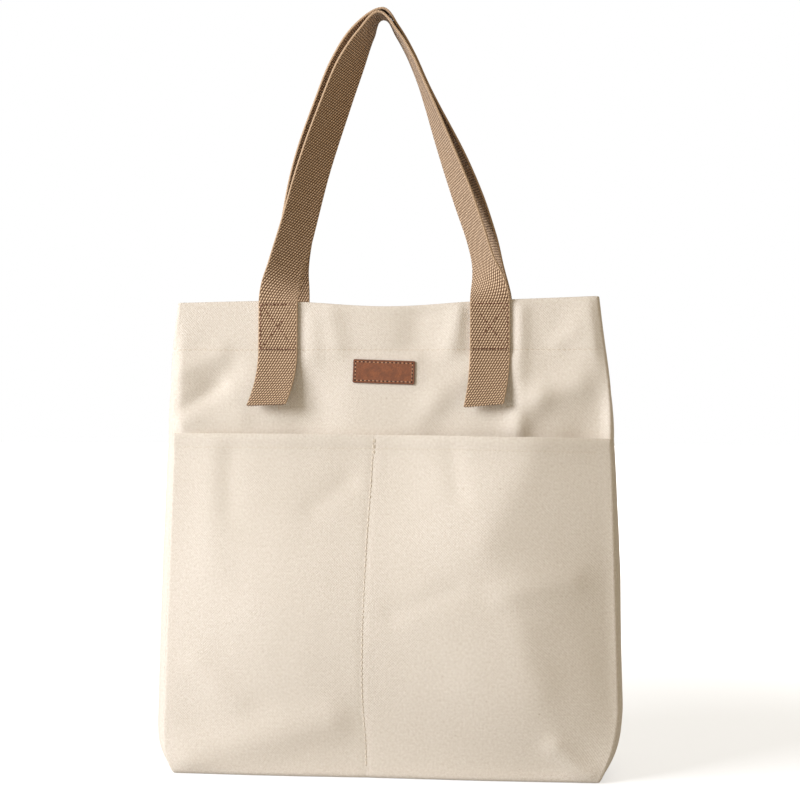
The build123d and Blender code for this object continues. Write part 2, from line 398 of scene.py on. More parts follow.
feed(made["Selvage"], selvage)
feed(made["Fuzz"], stretched_noise(given["Cloth"], FUZZ_SCALE, 3))
print("webbing weave:", len(webbing_weave.nodes), "nodes")

# %% [markdown]
# Natural canvas is cream, and the gaps between its yarns are painted a warm grey as painted shade.
# Broad, faint blotches and a few seed flecks make it look undyed. A scanned picture of cloth could
# be used, but it would repeat and blur up close. The yarns are bumped, the shine is nearly none, and
# a little sheen stands for the fuzz on the surface. A pair such as the gap shade's is a factor and an
# offset.

# %% Canvas
YARN_PITCH = 1.05 * MM
TAPE_PITCH = 0.7 * MM
CANVAS_BUMP = 0.38 * MM
CANVAS_GAP_SHADE, CANVAS_WEAR, CANVAS_ROUGHNESS = (-0.45, 0.4), (2.4, -1.12), (-0.08, 0.95)
BLOTCH_SCALE, BLOTCH_STRENGTH = (16, 16, 1), 0.3
SEED_SCALE, SEED_STRENGTH = (420, 420, 1), 0.5
SEED_START, SEED_END = 0.86, 0.9
SLUB_HEIGHT = 1.3
COTTON_FINISH = {"Specular IOR Level": 0.2, "Sheen Weight": 0.12, "Sheen Roughness": 0.6}


def canvas_material(name, pitch, light, shade, fleck):
    """Undyed cotton cloth."""
    material, shader, place = new_material(name, "Cloth")
    weave = placed_group(plain_weave, {"Cloth": place, "Pitch": pitch})
    worn = scaled(weave["Slub"], *CANVAS_WEAR)
    blotched = scaled(stretched_noise(place, BLOTCH_SCALE, 3), BLOTCH_STRENGTH, worn)
    # The weave's low gaps are painted darker as painted shade; slubs and blotches are the cloth's own tone.
    cloth = mixed(clamped(sums("ADD", scaled(weave["Height"], *CANVAS_GAP_SHADE), blotched)), light, shade)
    seeds = masked(stretched_noise(place, SEED_SCALE, 0), SEED_START, SEED_END)
    flecked = mixed(sums("MULTIPLY", seeds, SEED_STRENGTH), cloth, fleck)
    settle(shader, {"Base Color": flecked, "Roughness": scaled(weave["Height"], *CANVAS_ROUGHNESS)})
    settle(shader, COTTON_FINISH)
    bumped(shader, scaled(weave["Slub"], SLUB_HEIGHT, weave["Height"]), CANVAS_BUMP, 0.8)
    return material


# The shade colours serve both the painted shade of the yarn gaps and the darker slubs and blotches.
CANVAS_LIGHT, CANVAS_SHADE = (0.83, 0.765, 0.665, 1), (0.66, 0.58, 0.47, 1)
TAPE_LIGHT, TAPE_SHADE = (0.74, 0.67, 0.56, 1), (0.58, 0.51, 0.41, 1)
SEED_BROWN = (0.36, 0.25, 0.14, 1)
canvas = canvas_material("natural_canvas", YARN_PITCH, CANVAS_LIGHT, CANVAS_SHADE, SEED_BROWN)
tape = canvas_material("binding_cotton", TAPE_PITCH, TAPE_LIGHT, TAPE_SHADE, SEED_BROWN)
print("cloth materials:", canvas.name, tape.name)

# %% [markdown]
# Brown webbing takes its colour from the depth of its weave: the yarn's brown with a painted
# highlight on the floats, painted shade in the gaps, and a little paler along the selvage. One flat
# brown would only look painted, because what the eye sees on webbing is the light and dark of its
# yarns. Fuzz breaks the yarns up, and long faint streaks stand for wear.

# %% Webbing
# The light colour is the yarn's brown with a painted highlight; the dark one is painted shade in the gaps.
FLOAT_BROWN_AND_HIGHLIGHT, GAP_SHADE_BROWN = (0.96, 0.70, 0.455, 1), (0.10, 0.042, 0.015, 1)
SELVAGE_LIGHT, SELVAGE_STRENGTH = (0.44, 0.295, 0.175, 1), 0.6
FUZZ_SHADE, FUZZ_HEIGHT = (0.5, -0.3), 0.35
FLOAT_CONTRAST = 1.25
FADE_SCALE, FADE_STRENGTH = (60, 9, 1), 0.18
FADE_START, FADE_END = 0.45, 0.75
WEBBING_ROUGHNESS = (-0.15, 0.9)
WEBBING_BUMP = 0.7 * MM
WEBBING_FINISH = {"Specular IOR Level": 0.25, "Sheen Weight": 0.15, "Sheen Roughness": 0.5}

webbing, shader, place = new_material("brown_webbing", "Cloth")
weave = placed_group(webbing_weave, {"Cloth": place})
# Float height paints a highlight on the floats and shade in the gaps; fuzz adds random tone.
lit = scaled(weave["Height"], FLOAT_CONTRAST, scaled(weave["Fuzz"], *FUZZ_SHADE))
yarn = mixed(clamped(lit), GAP_SHADE_BROWN, FLOAT_BROWN_AND_HIGHLIGHT)
tinted = mixed(sums("MULTIPLY", weave["Selvage"], SELVAGE_STRENGTH), yarn, SELVAGE_LIGHT)
faded = masked(stretched_noise(place, FADE_SCALE, 3), FADE_START, FADE_END)
worn = mixed(sums("MULTIPLY", faded, FADE_STRENGTH), tinted, SELVAGE_LIGHT)
settle(shader, {"Base Color": worn, "Roughness": scaled(weave["Height"], *WEBBING_ROUGHNESS)})
settle(shader, WEBBING_FINISH)
bumped(shader, scaled(weave["Fuzz"], FUZZ_HEIGHT, weave["Height"]), WEBBING_BUMP, 0.8)
print("webbing floats", FLOAT_PITCH / MM, "x", FLOAT_ROW / MM, "mm")

# %% [markdown]
# Leather has a pebbled grain, pores and a burnished edge. The grain is a cell pattern whose
# borders are creases; noise alone would look like felt. The label carries its own flat map,
# measured from its middle, so the material knows how far a point is from the cut edge and can
# darken it there.

# %% Leather
LABEL_WIDTH = 50 * MM
LABEL_HEIGHT = 19 * MM
LEATHER_LIGHT, LEATHER_DARK = (0.34, 0.108, 0.031, 1), (0.16, 0.048, 0.014, 1)
BURNISHED = (0.14, 0.052, 0.022, 1)
BURNISH_START, BURNISH_END = 0.2 * MM, 1.2 * MM
GRAIN_CELLS = 1300
PEBBLE_EDGE = 0.25
MOTTLE_SCALE, MOTTLE_HEIGHT = (180, 180, 1), 0.6
CREASE_SHADE = 0.35
TONE_START, TONE_END = 0.35, 0.85
LEATHER_ROUGHNESS = (-0.15, 0.62)
LEATHER_BUMP = 0.15 * MM

leather, shader, place = new_material("tan_leather", "Cloth")
grain = place.id_data.nodes.new("ShaderNodeTexVoronoi")
grain.feature = "DISTANCE_TO_EDGE"
settle(grain, {"Vector": place, "Scale": GRAIN_CELLS})
pebble = masked(grain.outputs["Distance"], 0.0, PEBBLE_EDGE)
mottle = stretched_noise(place, MOTTLE_SCALE, 4)
tone = scaled(sums("SUBTRACT", 1, pebble), CREASE_SHADE, mottle)
hide = mixed(masked(tone, TONE_START, TONE_END), LEATHER_LIGHT, LEATHER_DARK)
along = axes(place)
from_side = sums("SUBTRACT", LABEL_WIDTH / 2, sums("ABSOLUTE", along["X"]))
from_top = sums("SUBTRACT", LABEL_HEIGHT / 2, sums("ABSOLUTE", along["Y"]))
inner = masked(sums("MINIMUM", from_side, from_top), BURNISH_START, BURNISH_END)
edged = mixed(sums("SUBTRACT", 1, inner), hide, BURNISHED)
settle(shader, {"Base Color": edged, "Roughness": scaled(pebble, *LEATHER_ROUGHNESS)})
bumped(shader, scaled(mottle, MOTTLE_HEIGHT, pebble), LEATHER_BUMP, 0.6)
print("leather grain cells", round(1 / (GRAIN_CELLS * MM), 2), "mm")

# %% [markdown]
# Thread is plied: two yarns twisted together. The twist could be modelled as two coils, but at
# this size it is only a slanting change of tone, so a wave across the object's own
# coordinates is enough. Needle holes are made of the same stuff, in dark tones that paint the shade inside
# each hole.

# %% Thread
PLY_SCALE, PLY_DISTORTION = 700, 2
PLY_BUMP = 0.1 * MM
THREAD_FINISH = {"Roughness": 0.7, "Sheen Weight": 0.1}


def thread_material(name, light, dark):
    """Sewing thread with a slanting ply."""
    material, shader, place = new_material(name)
    ply = place.id_data.nodes.new("ShaderNodeTexWave")
    ply.bands_direction = "DIAGONAL"
    settle(ply, {"Vector": place, "Scale": PLY_SCALE, "Distortion": PLY_DISTORTION})
    feed(shader.inputs["Base Color"], mixed(ply.outputs["Fac"], dark, light))
    settle(shader, THREAD_FINISH)
    bumped(shader, ply.outputs["Fac"], PLY_BUMP, 0.5)
    return material


cream_thread = thread_material("cream_thread", (0.80, 0.71, 0.58, 1), (0.60, 0.49, 0.36, 1))
pale_thread = thread_material("pale_thread", (0.86, 0.79, 0.67, 1), (0.62, 0.52, 0.39, 1))
brown_thread = thread_material("brown_thread", (0.20, 0.068, 0.026, 1), (0.08, 0.026, 0.011, 1))
tan_thread = thread_material("tan_thread", (0.74, 0.45, 0.27, 1), (0.50, 0.27, 0.14, 1))
# Both hole materials are painted shade for the inside of needle holes.
hole_shade_dark = thread_material("needle_hole_shade", (0.03, 0.012, 0.006, 1), (0.015, 0.006, 0.003, 1))
hole_shade_soft = thread_material("cloth_hole_shade", (0.42, 0.33, 0.23, 1), (0.30, 0.23, 0.15, 1))
yarn_brown = thread_material("webbing_yarn", (0.46, 0.31, 0.19, 1), (0.22, 0.13, 0.07, 1))
print("threads:", cream_thread.name, pale_thread.name, brown_thread.name, tan_thread.name, yarn_brown.name)

# %% [markdown]
# Each panel is a length of cloth, so it starts as a flat grid and every point of the grid is
# carried to its place on the bag. A cloth simulation could drape it, but this cloth is stiff
# and sewn on all sides, and its folds are wanted in chosen places. The grid keeps a flat map in
# metres, as the cloth was cut, and the weave follows that map round every fold. A Solidify
# modifier gives the cloth its thickness at the end.

# %% Cloth helpers


def spaced(*stretches):
    """Places along a line, from stretches of (length, steps)."""
    places = [0.0]
    for length, steps in stretches:
        start = places[-1]
        places += [start + length * (i + 1) / steps for i in range(steps)]
    return places


def centred(width, steps):
    """Even places across a width, measured from its middle."""
    return [place - width / 2 for place in spaced((width, steps))]


def cloth_grid(across, along, place, flat_across=1.0, flat_along=1.0):
    """A grid whose columns and rows stand at given values, carried to place(across, along)."""
    shape = bmesh.new()
    bmesh.ops.create_grid(shape, x_segments=len(across) - 1, y_segments=len(along) - 1, size=0.5)
    flat = shape.loops.layers.uv.new("Cloth")
    spots = {}
    for vert in shape.verts:
        column = round((vert.co.x + 0.5) * (len(across) - 1))
        row = round((vert.co.y + 0.5) * (len(along) - 1))
        spots[vert] = (across[column], along[row])
    for face in shape.faces:
        face.smooth = True
        for loop in face.loops:
            a, b = spots[loop.vert]
            loop[flat].uv = (a * flat_across, b * flat_along)
    for vert, (a, b) in spots.items():
        vert.co = place(a, b)
    return shape


def piece(shape, name, material, thickness=0.0, side=-1.0):
    """Turns a shape into an object at the origin, with its cloth's thickness."""
    mesh = bpy.data.meshes.new(name)
    shape.to_mesh(mesh)
    shape.free()
    mesh.materials.append(material)
    made_piece = bpy.data.objects.new(name, mesh)
    bpy.context.scene.collection.objects.link(made_piece)
    if thickness:
        solid = made_piece.modifiers.new("thickness", "SOLIDIFY")
        solid.thickness = thickness
        solid.offset = side
    print(name, len(mesh.polygons), "faces")
    return made_piece


def smooth(low, high, value):
    """0 up to low, 1 from high on, smooth between."""
    share = min(1, max(0, (value - low) / (high - low)))
    return share * share * (3 - 2 * share)


def curve_through(table, value):
    """A smooth curve through (place, height) pairs, level beyond its ends."""
    if value <= table[0][0]:
        return table[0][1]
    if value >= table[-1][0]:
        return table[-1][1]
    i = max(k for k in range(len(table) - 1) if table[k][0] <= value)

    def slope(k):
        before, after = table[max(k - 1, 0)], table[min(k + 1, len(table) - 1)]
        return (after[1] - before[1]) / (after[0] - before[0])

    (start, low), (end, high) = table[i], table[i + 1]
    span = end - start
    t = (value - start) / span
    bend = (t**3 - 2 * t**2 + t) * span * slope(i) + (t**3 - t**2) * span * slope(i + 1)
    return low * (2 * t**3 - 3 * t**2 + 1) + high * (3 * t**2 - 2 * t**3) + bend


print("cloth helpers ready")

# %% [markdown]
# The walls of the bag. Each wall leans towards the mouth, is widest a little above the floor
# and bows out below the pocket's mouth, as a bag does that has been filled. A run of cloth
# starts under the base, rolls round the foot, climbs the wall, folds over the rim and hangs
# down inside as the hem. The wall could be sculpted, but functions let the panel, the pocket,
# the tape and the stitches all find the same surface.

# %% Wall surface
SHOULDER = 3.6 * MM
SHOULDER_START = 270 * MM
CORNER_TAPER = 9 * MM
CORNER_SQUARENESS = 2.5
RIGHT_WRAP = 8 * MM
WRAP_FOOT, WRAP_TOP = (4 * MM, 60 * MM), (250 * MM, 370 * MM)
WRAP_ACROSS = (0.3, 1)
SEAM_STRIP = 4 * MM
SEAM_STEPS = 6


def half_width(up):
    """Half of a wall's width, fuller below the rim and rounded at the lower corners."""
    share = (up - BILGE_HEIGHT) / (RIM_HEIGHT - BILGE_HEIGHT)
    if share > 0:
        swell = math.sin(math.pi * min(1, max(0, (up - SHOULDER_START) / (RIM_HEIGHT - SHOULDER_START))))
        return BILGE_HALF_WIDTH + share * (MOUTH_HALF_WIDTH - BILGE_HALF_WIDTH) + SHOULDER * swell
    drop = min(1, 1 - up / BILGE_HEIGHT)
    return BILGE_HALF_WIDTH - CORNER_TAPER * drop**CORNER_SQUARENESS


def seam_x(share, up):
    """Across a wall by a share of its half width; the front right seam wraps round to the side."""
    wrap = smooth(*WRAP_FOOT, up) * (1 - smooth(*WRAP_TOP, up)) * smooth(*WRAP_ACROSS, share)
    return share * half_width(up) + RIGHT_WRAP * wrap


def wall_bow(x, up):
    """How far a wall stands out at a place."""
    if not 0 < up < BOW_TOP:
        return 0
    return WALL_BOW * math.sin(math.pi * up / BOW_TOP) ** 2 * max(0, 1 - (x / half_width(up)) ** 2)


def wall_point(side, x, up, out):
    """A place on a leaning wall: across, up the wall and out of its face."""
    depth = BASE_HALF_DEPTH - up * math.sin(WALL_LEAN) + out * math.cos(WALL_LEAN)
    height = up * math.cos(WALL_LEAN) + out * math.sin(WALL_LEAN)
    return Vector((x, side * depth, max(height, FLOOR_GAP)))


def cloth_run(run, top):
    """How far up and out a run of cloth has come, from its tuck to the end of its hem."""
    run -= FOOT_TUCK
    if run < 0:
        return 0, run - FOOT_ROLL
    arc = FOOT_ROLL * math.pi / 2
    if run < arc:
        angle = run / FOOT_ROLL
        return FOOT_ROLL * (1 - math.cos(angle)), FOOT_ROLL * (math.sin(angle) - 1)
    up = FOOT_ROLL + run - arc
    if up < top:
        return up, 0
    past = up - top
    arc = RIM_FOLD * math.pi
    if past < arc:
        angle = past / RIM_FOLD
        return top + RIM_FOLD * math.sin(angle), RIM_FOLD * (math.cos(angle) - 1)
    return top - (past - arc), -2 * RIM_FOLD


def cloth_rows(top, hem, rows):
    """Rows of a grid for such a run, close together where it bends."""
    foot, rim = FOOT_ROLL * math.pi / 2, RIM_FOLD * math.pi
    return spaced((FOOT_TUCK, 3), (foot, 6), (top - FOOT_ROLL, rows), (rim, 8), (hem, 12))


def cloth_columns(columns):
    """Columns from one side seam to the other as shares, close together at the seams."""
    edge = (SEAM_STRIP, SEAM_STEPS)
    places = spaced(edge, (2 * BILGE_HALF_WIDTH - 2 * SEAM_STRIP, columns), edge)
    return [place / BILGE_HALF_WIDTH - 1 for place in places]


def from_seam(side, x, up):
    """How far a place on a wall is from the nearer side seam."""
    return min(half_width(up) + x, (seam_x(1, up) if side == FRONT else half_width(up)) - x)


def seam_roll(side, x, up):
    """How far the cloth turns in where it meets a side seam."""
    gap = from_seam(side, x, up)
    if gap >= EDGE_ROLL:
        return 0
    return EDGE_ROLL - math.sqrt(max(0, EDGE_ROLL**2 - (EDGE_ROLL - gap) ** 2))


print("wall widths from foot to rim:", [round(2 * half_width(up * RIM_HEIGHT / 4), 3) for up in range(5)])

# %% [markdown]
# Folds. Cotton canvas that has been carried does not hang flat. Each fold is a soft ridge or
# hollow along a short line, given as its two ends across and up the wall, its half
# width and its rise, in millimetres. Brushes could sculpt them, but a line of numbers is easy
# to move when the render is held beside the photograph. Fine rumples come from smooth noise.
# The cloth lies flat where a handle or the label is sewn on.

# %% Folds
FOLD_STRENGTH = 1.3
FOLD_REACH = 3
BROAD_WAVE, BROAD_RISE = (55 * MM, 70 * MM), 0.55
FINE_WAVE, FINE_RISE = (18 * MM, 24 * MM), 0.18
FINE_SEED = 5
PATCH_EASE = 9 * MM


def fold_relief(folds, x, up):
    """The summed height of ridges and hollows at a place."""
    total = 0
    for x0, z0, x1, z1, width, rise in folds:
        dx, dz = x1 - x0, z1 - z0
        ax, az = x / MM - x0, up / MM - z0
        share = min(1, max(0, (ax * dx + az * dz) / (dx * dx + dz * dz)))
        gap = math.hypot(ax - share * dx, az - share * dz)
        if gap < FOLD_REACH * width:
            total += rise * math.exp(-((gap / width) ** 2))
    return FOLD_STRENGTH * total * MM


def rumple(x, up, seed):
    """Small irregular waves of cloth."""
    broad = noise.noise(Vector((x / BROAD_WAVE[0], up / BROAD_WAVE[1], seed)))
    fine = noise.noise(Vector((x / FINE_WAVE[0], up / FINE_WAVE[1], seed + FINE_SEED)))
    return (BROAD_RISE * broad + FINE_RISE * fine) * MM


def slack(spots, x, up):
    """0 where something is sewn flat on the cloth, 1 well away from it."""
    free = 1
    for middle, height, half_across, half_up in spots:
        gap = math.hypot(max(0, abs(x - middle) - half_across), max(0, abs(up - height) - half_up))
        free *= smooth(0, PATCH_EASE, gap)
    return free


HANDLE_HALF_SPREAD = JOINTS["front_right_tail_lift"]["pos_m"][0]
WEBBING_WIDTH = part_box("front_left_handle_anchor")[1].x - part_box("front_left_handle_anchor")[0].x
LABEL_UP = sum(corner.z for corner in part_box("label_patch")) / 2 / math.cos(WALL_LEAN)
FOOT_SHIFT = {LEFT: -2.5 * MM, RIGHT: -1.0 * MM}


def foot_x(hand):
    """The middle of a handle's sewn end, a little off the pattern as sewn by hand and eye."""
    return hand * HANDLE_HALF_SPREAD + FOOT_SHIFT[hand]


anchor_spots = [
    (foot_x(hand), WALL_LENGTH - HEM_DEPTH / 2, WEBBING_WIDTH / 2, HEM_DEPTH / 2) for hand in (LEFT, RIGHT)
]
label_spot = (0, LABEL_UP, LABEL_WIDTH / 2, LABEL_HEIGHT / 2)

FRONT_FOLDS = [
    (-172, 322, -136, 340, 9, 1.3),
    (-126, 327, -143, 317, 9, -1.1),
    (-168, 293, -136, 313, 7, -1.9),
    (-176, 335, -172, 283, 24, 2.8),
    (-173, 289, -120, 287, 10, 1.2),
    (-60, 309, -64, 276, 22, -2.2),
    (-59, 368, -58, 340, 8, 1.1),
    (-45, 374, -40, 346, 9, 1.3),
    (26, 372, 24, 348, 15, -2.0),
    (60, 374, 53, 344, 9, 2.0),
    (74, 336, 40, 300, 11, 1.4),
    (40, 300, 28, 288, 11, 0.6),
    (56, 312, 44, 277, 15, -0.8),
    (108, 372, 107, 275, 7, 1.7),
    (106, 284, 123, 304, 12, 2.4),
    (123, 304, 154, 315, 12, 2.4),
    (163, 276, 170, 290, 19, -3.0),
    (138, 347, 150, 356, 7, 1.0),
    (168, 380, 168, 348, 20, 2.4),
]
BACK_FOLDS = [
    (-150, 300, -118, 342, 10, 2.2),
    (-60, 330, -30, 292, 11, 2.4),
    (-40, 340, -14, 300, 12, -2.0),
    (20, 372, 24, 344, 10, -1.5),
    (52, 338, 20, 250, 13, 2.4),
    (118, 352, 110, 262, 9, 2.0),
    (140, 296, 168, 308, 11, 2.4),
    (-118, 210, -128, 120, 16, 1.8),
    (90, 180, 118, 70, 18, 2.2),
    (-70, 30, -20, 46, 12, 1.6),
    (120, 34, 158, 8, 9, 2.0),
]
print("folds:", len(FRONT_FOLDS), "in front,", len(BACK_FOLDS), "behind")

# %% [markdown]
# The front and back panel are one length of canvas each. The rim is not level: it dips between
# the handles, which carry it, and its right end stands up a little. The hem's stitching pulls a
# shallow groove into the cloth all along the wall.

# %% Front and back panels
RIM_CURVE = {
    FRONT: [(-0.171, -0.0005), (-0.085, 0.0005), (0, -0.004), (0.085, 0.0005), (0.171, 0.0035)],
    BACK: [(-0.171, 0.001), (-0.085, 0.0005), (0, -0.003), (0.085, 0.0005), (0.171, 0.0035)],
}
HEM_LINE = WALL_LENGTH - HEM_DEPTH
STITCH_GROOVE = 0.5 * MM
GROOVE_WIDTH = 2.2 * MM
HEM_INSET = 4 * MM
PANEL_FOOT = {FRONT: 1.4 * MM, BACK: FLOOR_GAP}
FOOT_REACH = 30 * MM
SEAM_EASE, FOOT_EASE, RIM_EASE = 10 * MM, 14 * MM, 8 * MM
RIM_STIFFNESS = 0.5


def groove(distance):
    """The dent that a row of stitches pulls into the cloth."""
    return STITCH_GROOVE * math.exp(-((distance / GROOVE_WIDTH) ** 2))


def panel_lift(side, x, up):
    """How far a wall's cloth lies out of its leaning plane."""
    folds, seed = (FRONT_FOLDS, 1.0) if side == FRONT else (BACK_FOLDS, 9.0)
    spots = anchor_spots + ([label_spot] if side == FRONT else [])
    near_seam = smooth(0, SEAM_EASE, from_seam(side, x, up))
    near_foot = smooth(0, FOOT_EASE, up)
    near_rim = 1 - RIM_STIFFNESS * smooth(WALL_LENGTH - RIM_EASE, WALL_LENGTH, up)
    loose = slack(spots, x, up) * near_seam * near_foot * near_rim
    wavy = loose * (fold_relief(folds, x, up) + rumple(x, up, seed))
    return wall_bow(x, up) + wavy - groove(up - HEM_LINE) - seam_roll(side, x, up)


def panel_point(side, share, run):
    """A point of a wall's cloth."""
    up, out = cloth_run(run, WALL_LENGTH)
    level = min(up, WALL_LENGTH)
    x = seam_x(share, level) if side == FRONT else share * half_width(level)
    if up > HEM_LINE - MM:
        x += share * HEM_INSET * out / (2 * RIM_FOLD)
    rise = curve_through(RIM_CURVE[side], x) * smooth(HEM_LINE, WALL_LENGTH, up)
    foot = PANEL_FOOT[side] * (1 - smooth(0, FOOT_REACH, up))
    return wall_point(side, x, up + rise + foot, out + panel_lift(side, x, level))


panel_rows = cloth_rows(WALL_LENGTH, HEM_DEPTH, 130)
panels = {}
for side, wall, _ in WALLS:
    shape = cloth_grid(
        cloth_columns(128),
        panel_rows,
        lambda share, run: panel_point(side, share * -side, run),
        BILGE_HALF_WIDTH,
    )
    panels[side] = piece(shape, f"{wall}_panel_cloth", canvas, CANVAS)
    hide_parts(f"{wall}_panel")
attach(panels[FRONT], "bag")
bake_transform(panels[BACK])

# %% [markdown]
# The gussets join the two walls at the sides. Low down they are round and full, at the mouth
# they fold inwards along the middle. Their front and back edges turn in to meet the turned-in
# edges of the walls, which leaves the narrow groove of a seam. Each gusset is its own cloth, as
# it was cut.

# %% Side gussets
GUSSET_BULGE = [
    (0, 0.003), (0.008, 0.0085), (0.015, 0.0105), (0.025, 0.0115),
    (0.065, 0.0118), (0.17, 0.0125), (0.272, 0.009), (0.337, 0.005), (0.38, 0.002),
]
GUSSET_ROUNDNESS = (2.4, 0.8)
GUSSET_INSET = 0.4 * MM
GUSSET_WAVE, GUSSET_WAVE_START = 2.2, 20 * MM
GUSSET_SEEDS = {LEFT: 10, RIGHT: 30}
GUSSET_PLEAT = 36 * MM
PLEAT_LENGTH = 110 * MM
PLEAT_SOFTNESS = 0.05
RIGHT_FULLNESS = 0.55


def gusset_depth(up):
    """From the middle of the bag to a gusset's edge."""
    return BASE_HALF_DEPTH - up * math.tan(WALL_LEAN) - EDGE_ROLL


def gusset_point(hand, share, run):
    """A point of a side gusset; share runs from the front seam to the back seam."""
    up, out = cloth_run(run, RIM_HEIGHT)
    level = min(up, RIM_HEIGHT)
    side_power, crown_power = GUSSET_ROUNDNESS
    full = curve_through(GUSSET_BULGE, level) * (1 - abs(share) ** side_power) ** crown_power
    pleat = max(0, 1 - (RIM_HEIGHT - level) / PLEAT_LENGTH) ** 2 * GUSSET_PLEAT
    inward = 1 + PLEAT_SOFTNESS - math.hypot(share, PLEAT_SOFTNESS)
    y = share * gusset_depth(level)
    loose = (1 - share**2) * smooth(0, GUSSET_WAVE_START, level)
    wave = GUSSET_WAVE * rumple(y, level, GUSSET_SEEDS[hand]) * loose
    ear = RIM_CURVE[FRONT][-1 if hand == RIGHT else 0][1] * smooth(HEM_LINE, WALL_LENGTH, up)
    edge = half_width(level)
    if hand == RIGHT:
        edge += (seam_x(1, level) - edge) * (1 - share) / 2
        full *= RIGHT_FULLNESS
    x = edge - GUSSET_INSET + full - pleat * inward + wave + out
    return Vector((hand * x, y, max(up + ear, FLOOR_GAP)))


gusset_rows = cloth_rows(RIM_HEIGHT, HEM_DEPTH, 120)
gusset_columns = [place / BASE_HALF_DEPTH - 1 for place in spaced((2 * BASE_HALF_DEPTH, 40))]
for hand, name in ((LEFT, "left_gusset"), (RIGHT, "right_gusset")):
    shape = cloth_grid(
        gusset_columns,
        gusset_rows,
        lambda share, run: gusset_point(hand, share * hand, run),
        BASE_HALF_DEPTH,
    )
    gusset = piece(shape, f"{name}_cloth", canvas, CANVAS)
    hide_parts(name)
    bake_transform(gusset)

# %% [markdown]
# The base lies inside the four tucked edges. It sags on to the floor in the middle and rises a
# little where the tucks lie under it. A plain flat sheet would do from outside, but through the
# open mouth the rise is what tells that it is sewn in.

# %% Base panel
BASE_EDGE = 6 * MM
BASE_RISE, RISE_WIDTH = 2.3 * MM, 18 * MM
BASE_RUMPLE, BASE_SEED = 0.4, 40


def base_point(x, y):
    """A point of the base's cloth."""
    gap = min(BASE_HALF_WIDTH - BASE_EDGE - abs(x), BASE_HALF_DEPTH - BASE_EDGE - abs(y))
    lift = BASE_RISE * (1 - smooth(0, RISE_WIDTH, gap)) + BASE_RUMPLE * abs(rumple(x, y, BASE_SEED))
    return Vector((x, y, lift + CANVAS + FLOOR_GAP))


base_width, base_depth = 2 * (BASE_HALF_WIDTH - BASE_EDGE), 2 * (BASE_HALF_DEPTH - BASE_EDGE)
shape = cloth_grid(centred(base_width, 64), centred(base_depth, 24), base_point)
base = piece(shape, "base_panel_cloth", canvas, CANVAS)
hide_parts("base_panel")
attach(base, "bag")

# %% [markdown]
# The pocket is a second cloth over the lower wall, caught in the side seams and the foot and
# sewn down once near the middle. Each of its two cells stands off the wall, most of all at the
# mouth, where the edge is folded in and sewn as a narrow hem. The dividing seam wanders a
# little to the left on its way down. A crease drawn on the wall would be simpler, but a hand
# goes into this pocket, so it is a cloth of its own with two open mouths.

# %% Front pocket
POCKET_TOP = POCKET_HEIGHT / math.cos(WALL_LEAN)
POCKET_HEM = 10 * MM
POCKET_GAPE = 2.2 * MM
POCKET_FOOT_GAPE = 1.2 * MM
POCKET_BELLY, BELLY_START, BELLY_EASE = 3 * MM, 80 * MM, 0.6
MOUTH_ZONE = 60 * MM
MOUTH_STAND, STAND_START, STAND_END = 1.8 * MM, 20 * MM, 2 * MM
POCKET_STAND = CANVAS + 0.4 * MM
POCKET_FOOT_EASE, DIVIDER_EASE = 10 * MM, 16 * MM
DIVIDER_DENT = 1.1
POCKET_SEED = 3.0
DIVIDER_LINE = [
    (0, -0.0135), (0.03, -0.014), (0.075, -0.016), (0.18, -0.0135), (0.24, -0.0105), (0.272, -0.0088)
]
TENT_CREST = [(0.045, 0.13), (0.143, 0.118), (0.19, 0.095), (0.253, 0.112)]
TENT_RISE = [(0.01, 0), (0.06, 0.0088), (0.14, 0.008), (0.2, 0.0102), (0.272, 0.0105)]
TENT_SOFTNESS = 0.4
POCKET_CURVE = [(-0.175, 0.0008), (0, 0), (0.175, -0.0025)]
POCKET_FOLDS = [
    (-126, 256, -126, 214, 9, -0.6),
    (-141, 258, -139, 168, 14, 0.9),
    (113, 253, 82, 190, 16, 0.8),
    (104, 144, 120, 73, 14, 0.8),
    (136, 112, 142, 66, 16, -0.8),
    (150, 160, 96, 150, 12, 1.2),
    (-153, 15, -43, 46, 17, 2.6),
    (138, 28, 163, 4, 9, 2.2),
    (9, 133, 59, 153, 8, -0.7),
    (-57, 215, -30, 236, 9, -0.8),
    (55, 262, 60, 226, 9, -0.9),
    (-150, 90, -120, 60, 12, 1.0),
]


def divider_x(up):
    """Where the dividing seam runs at a height."""
    return curve_through(DIVIDER_LINE, up)


def tent(x, up):
    """The broad fold in the right cell, from its crest down to the side seam and the divider."""
    crest, rise = curve_through(TENT_CREST, up), curve_through(TENT_RISE, up)
    if x < crest:
        return rise * smooth(divider_x(up), crest, x)
    past = min(1, (x - crest) / (seam_x(1, up) - crest))
    far = math.hypot(1, TENT_SOFTNESS)
    return rise * (far - math.hypot(past, TENT_SOFTNESS)) / (far - TENT_SOFTNESS)


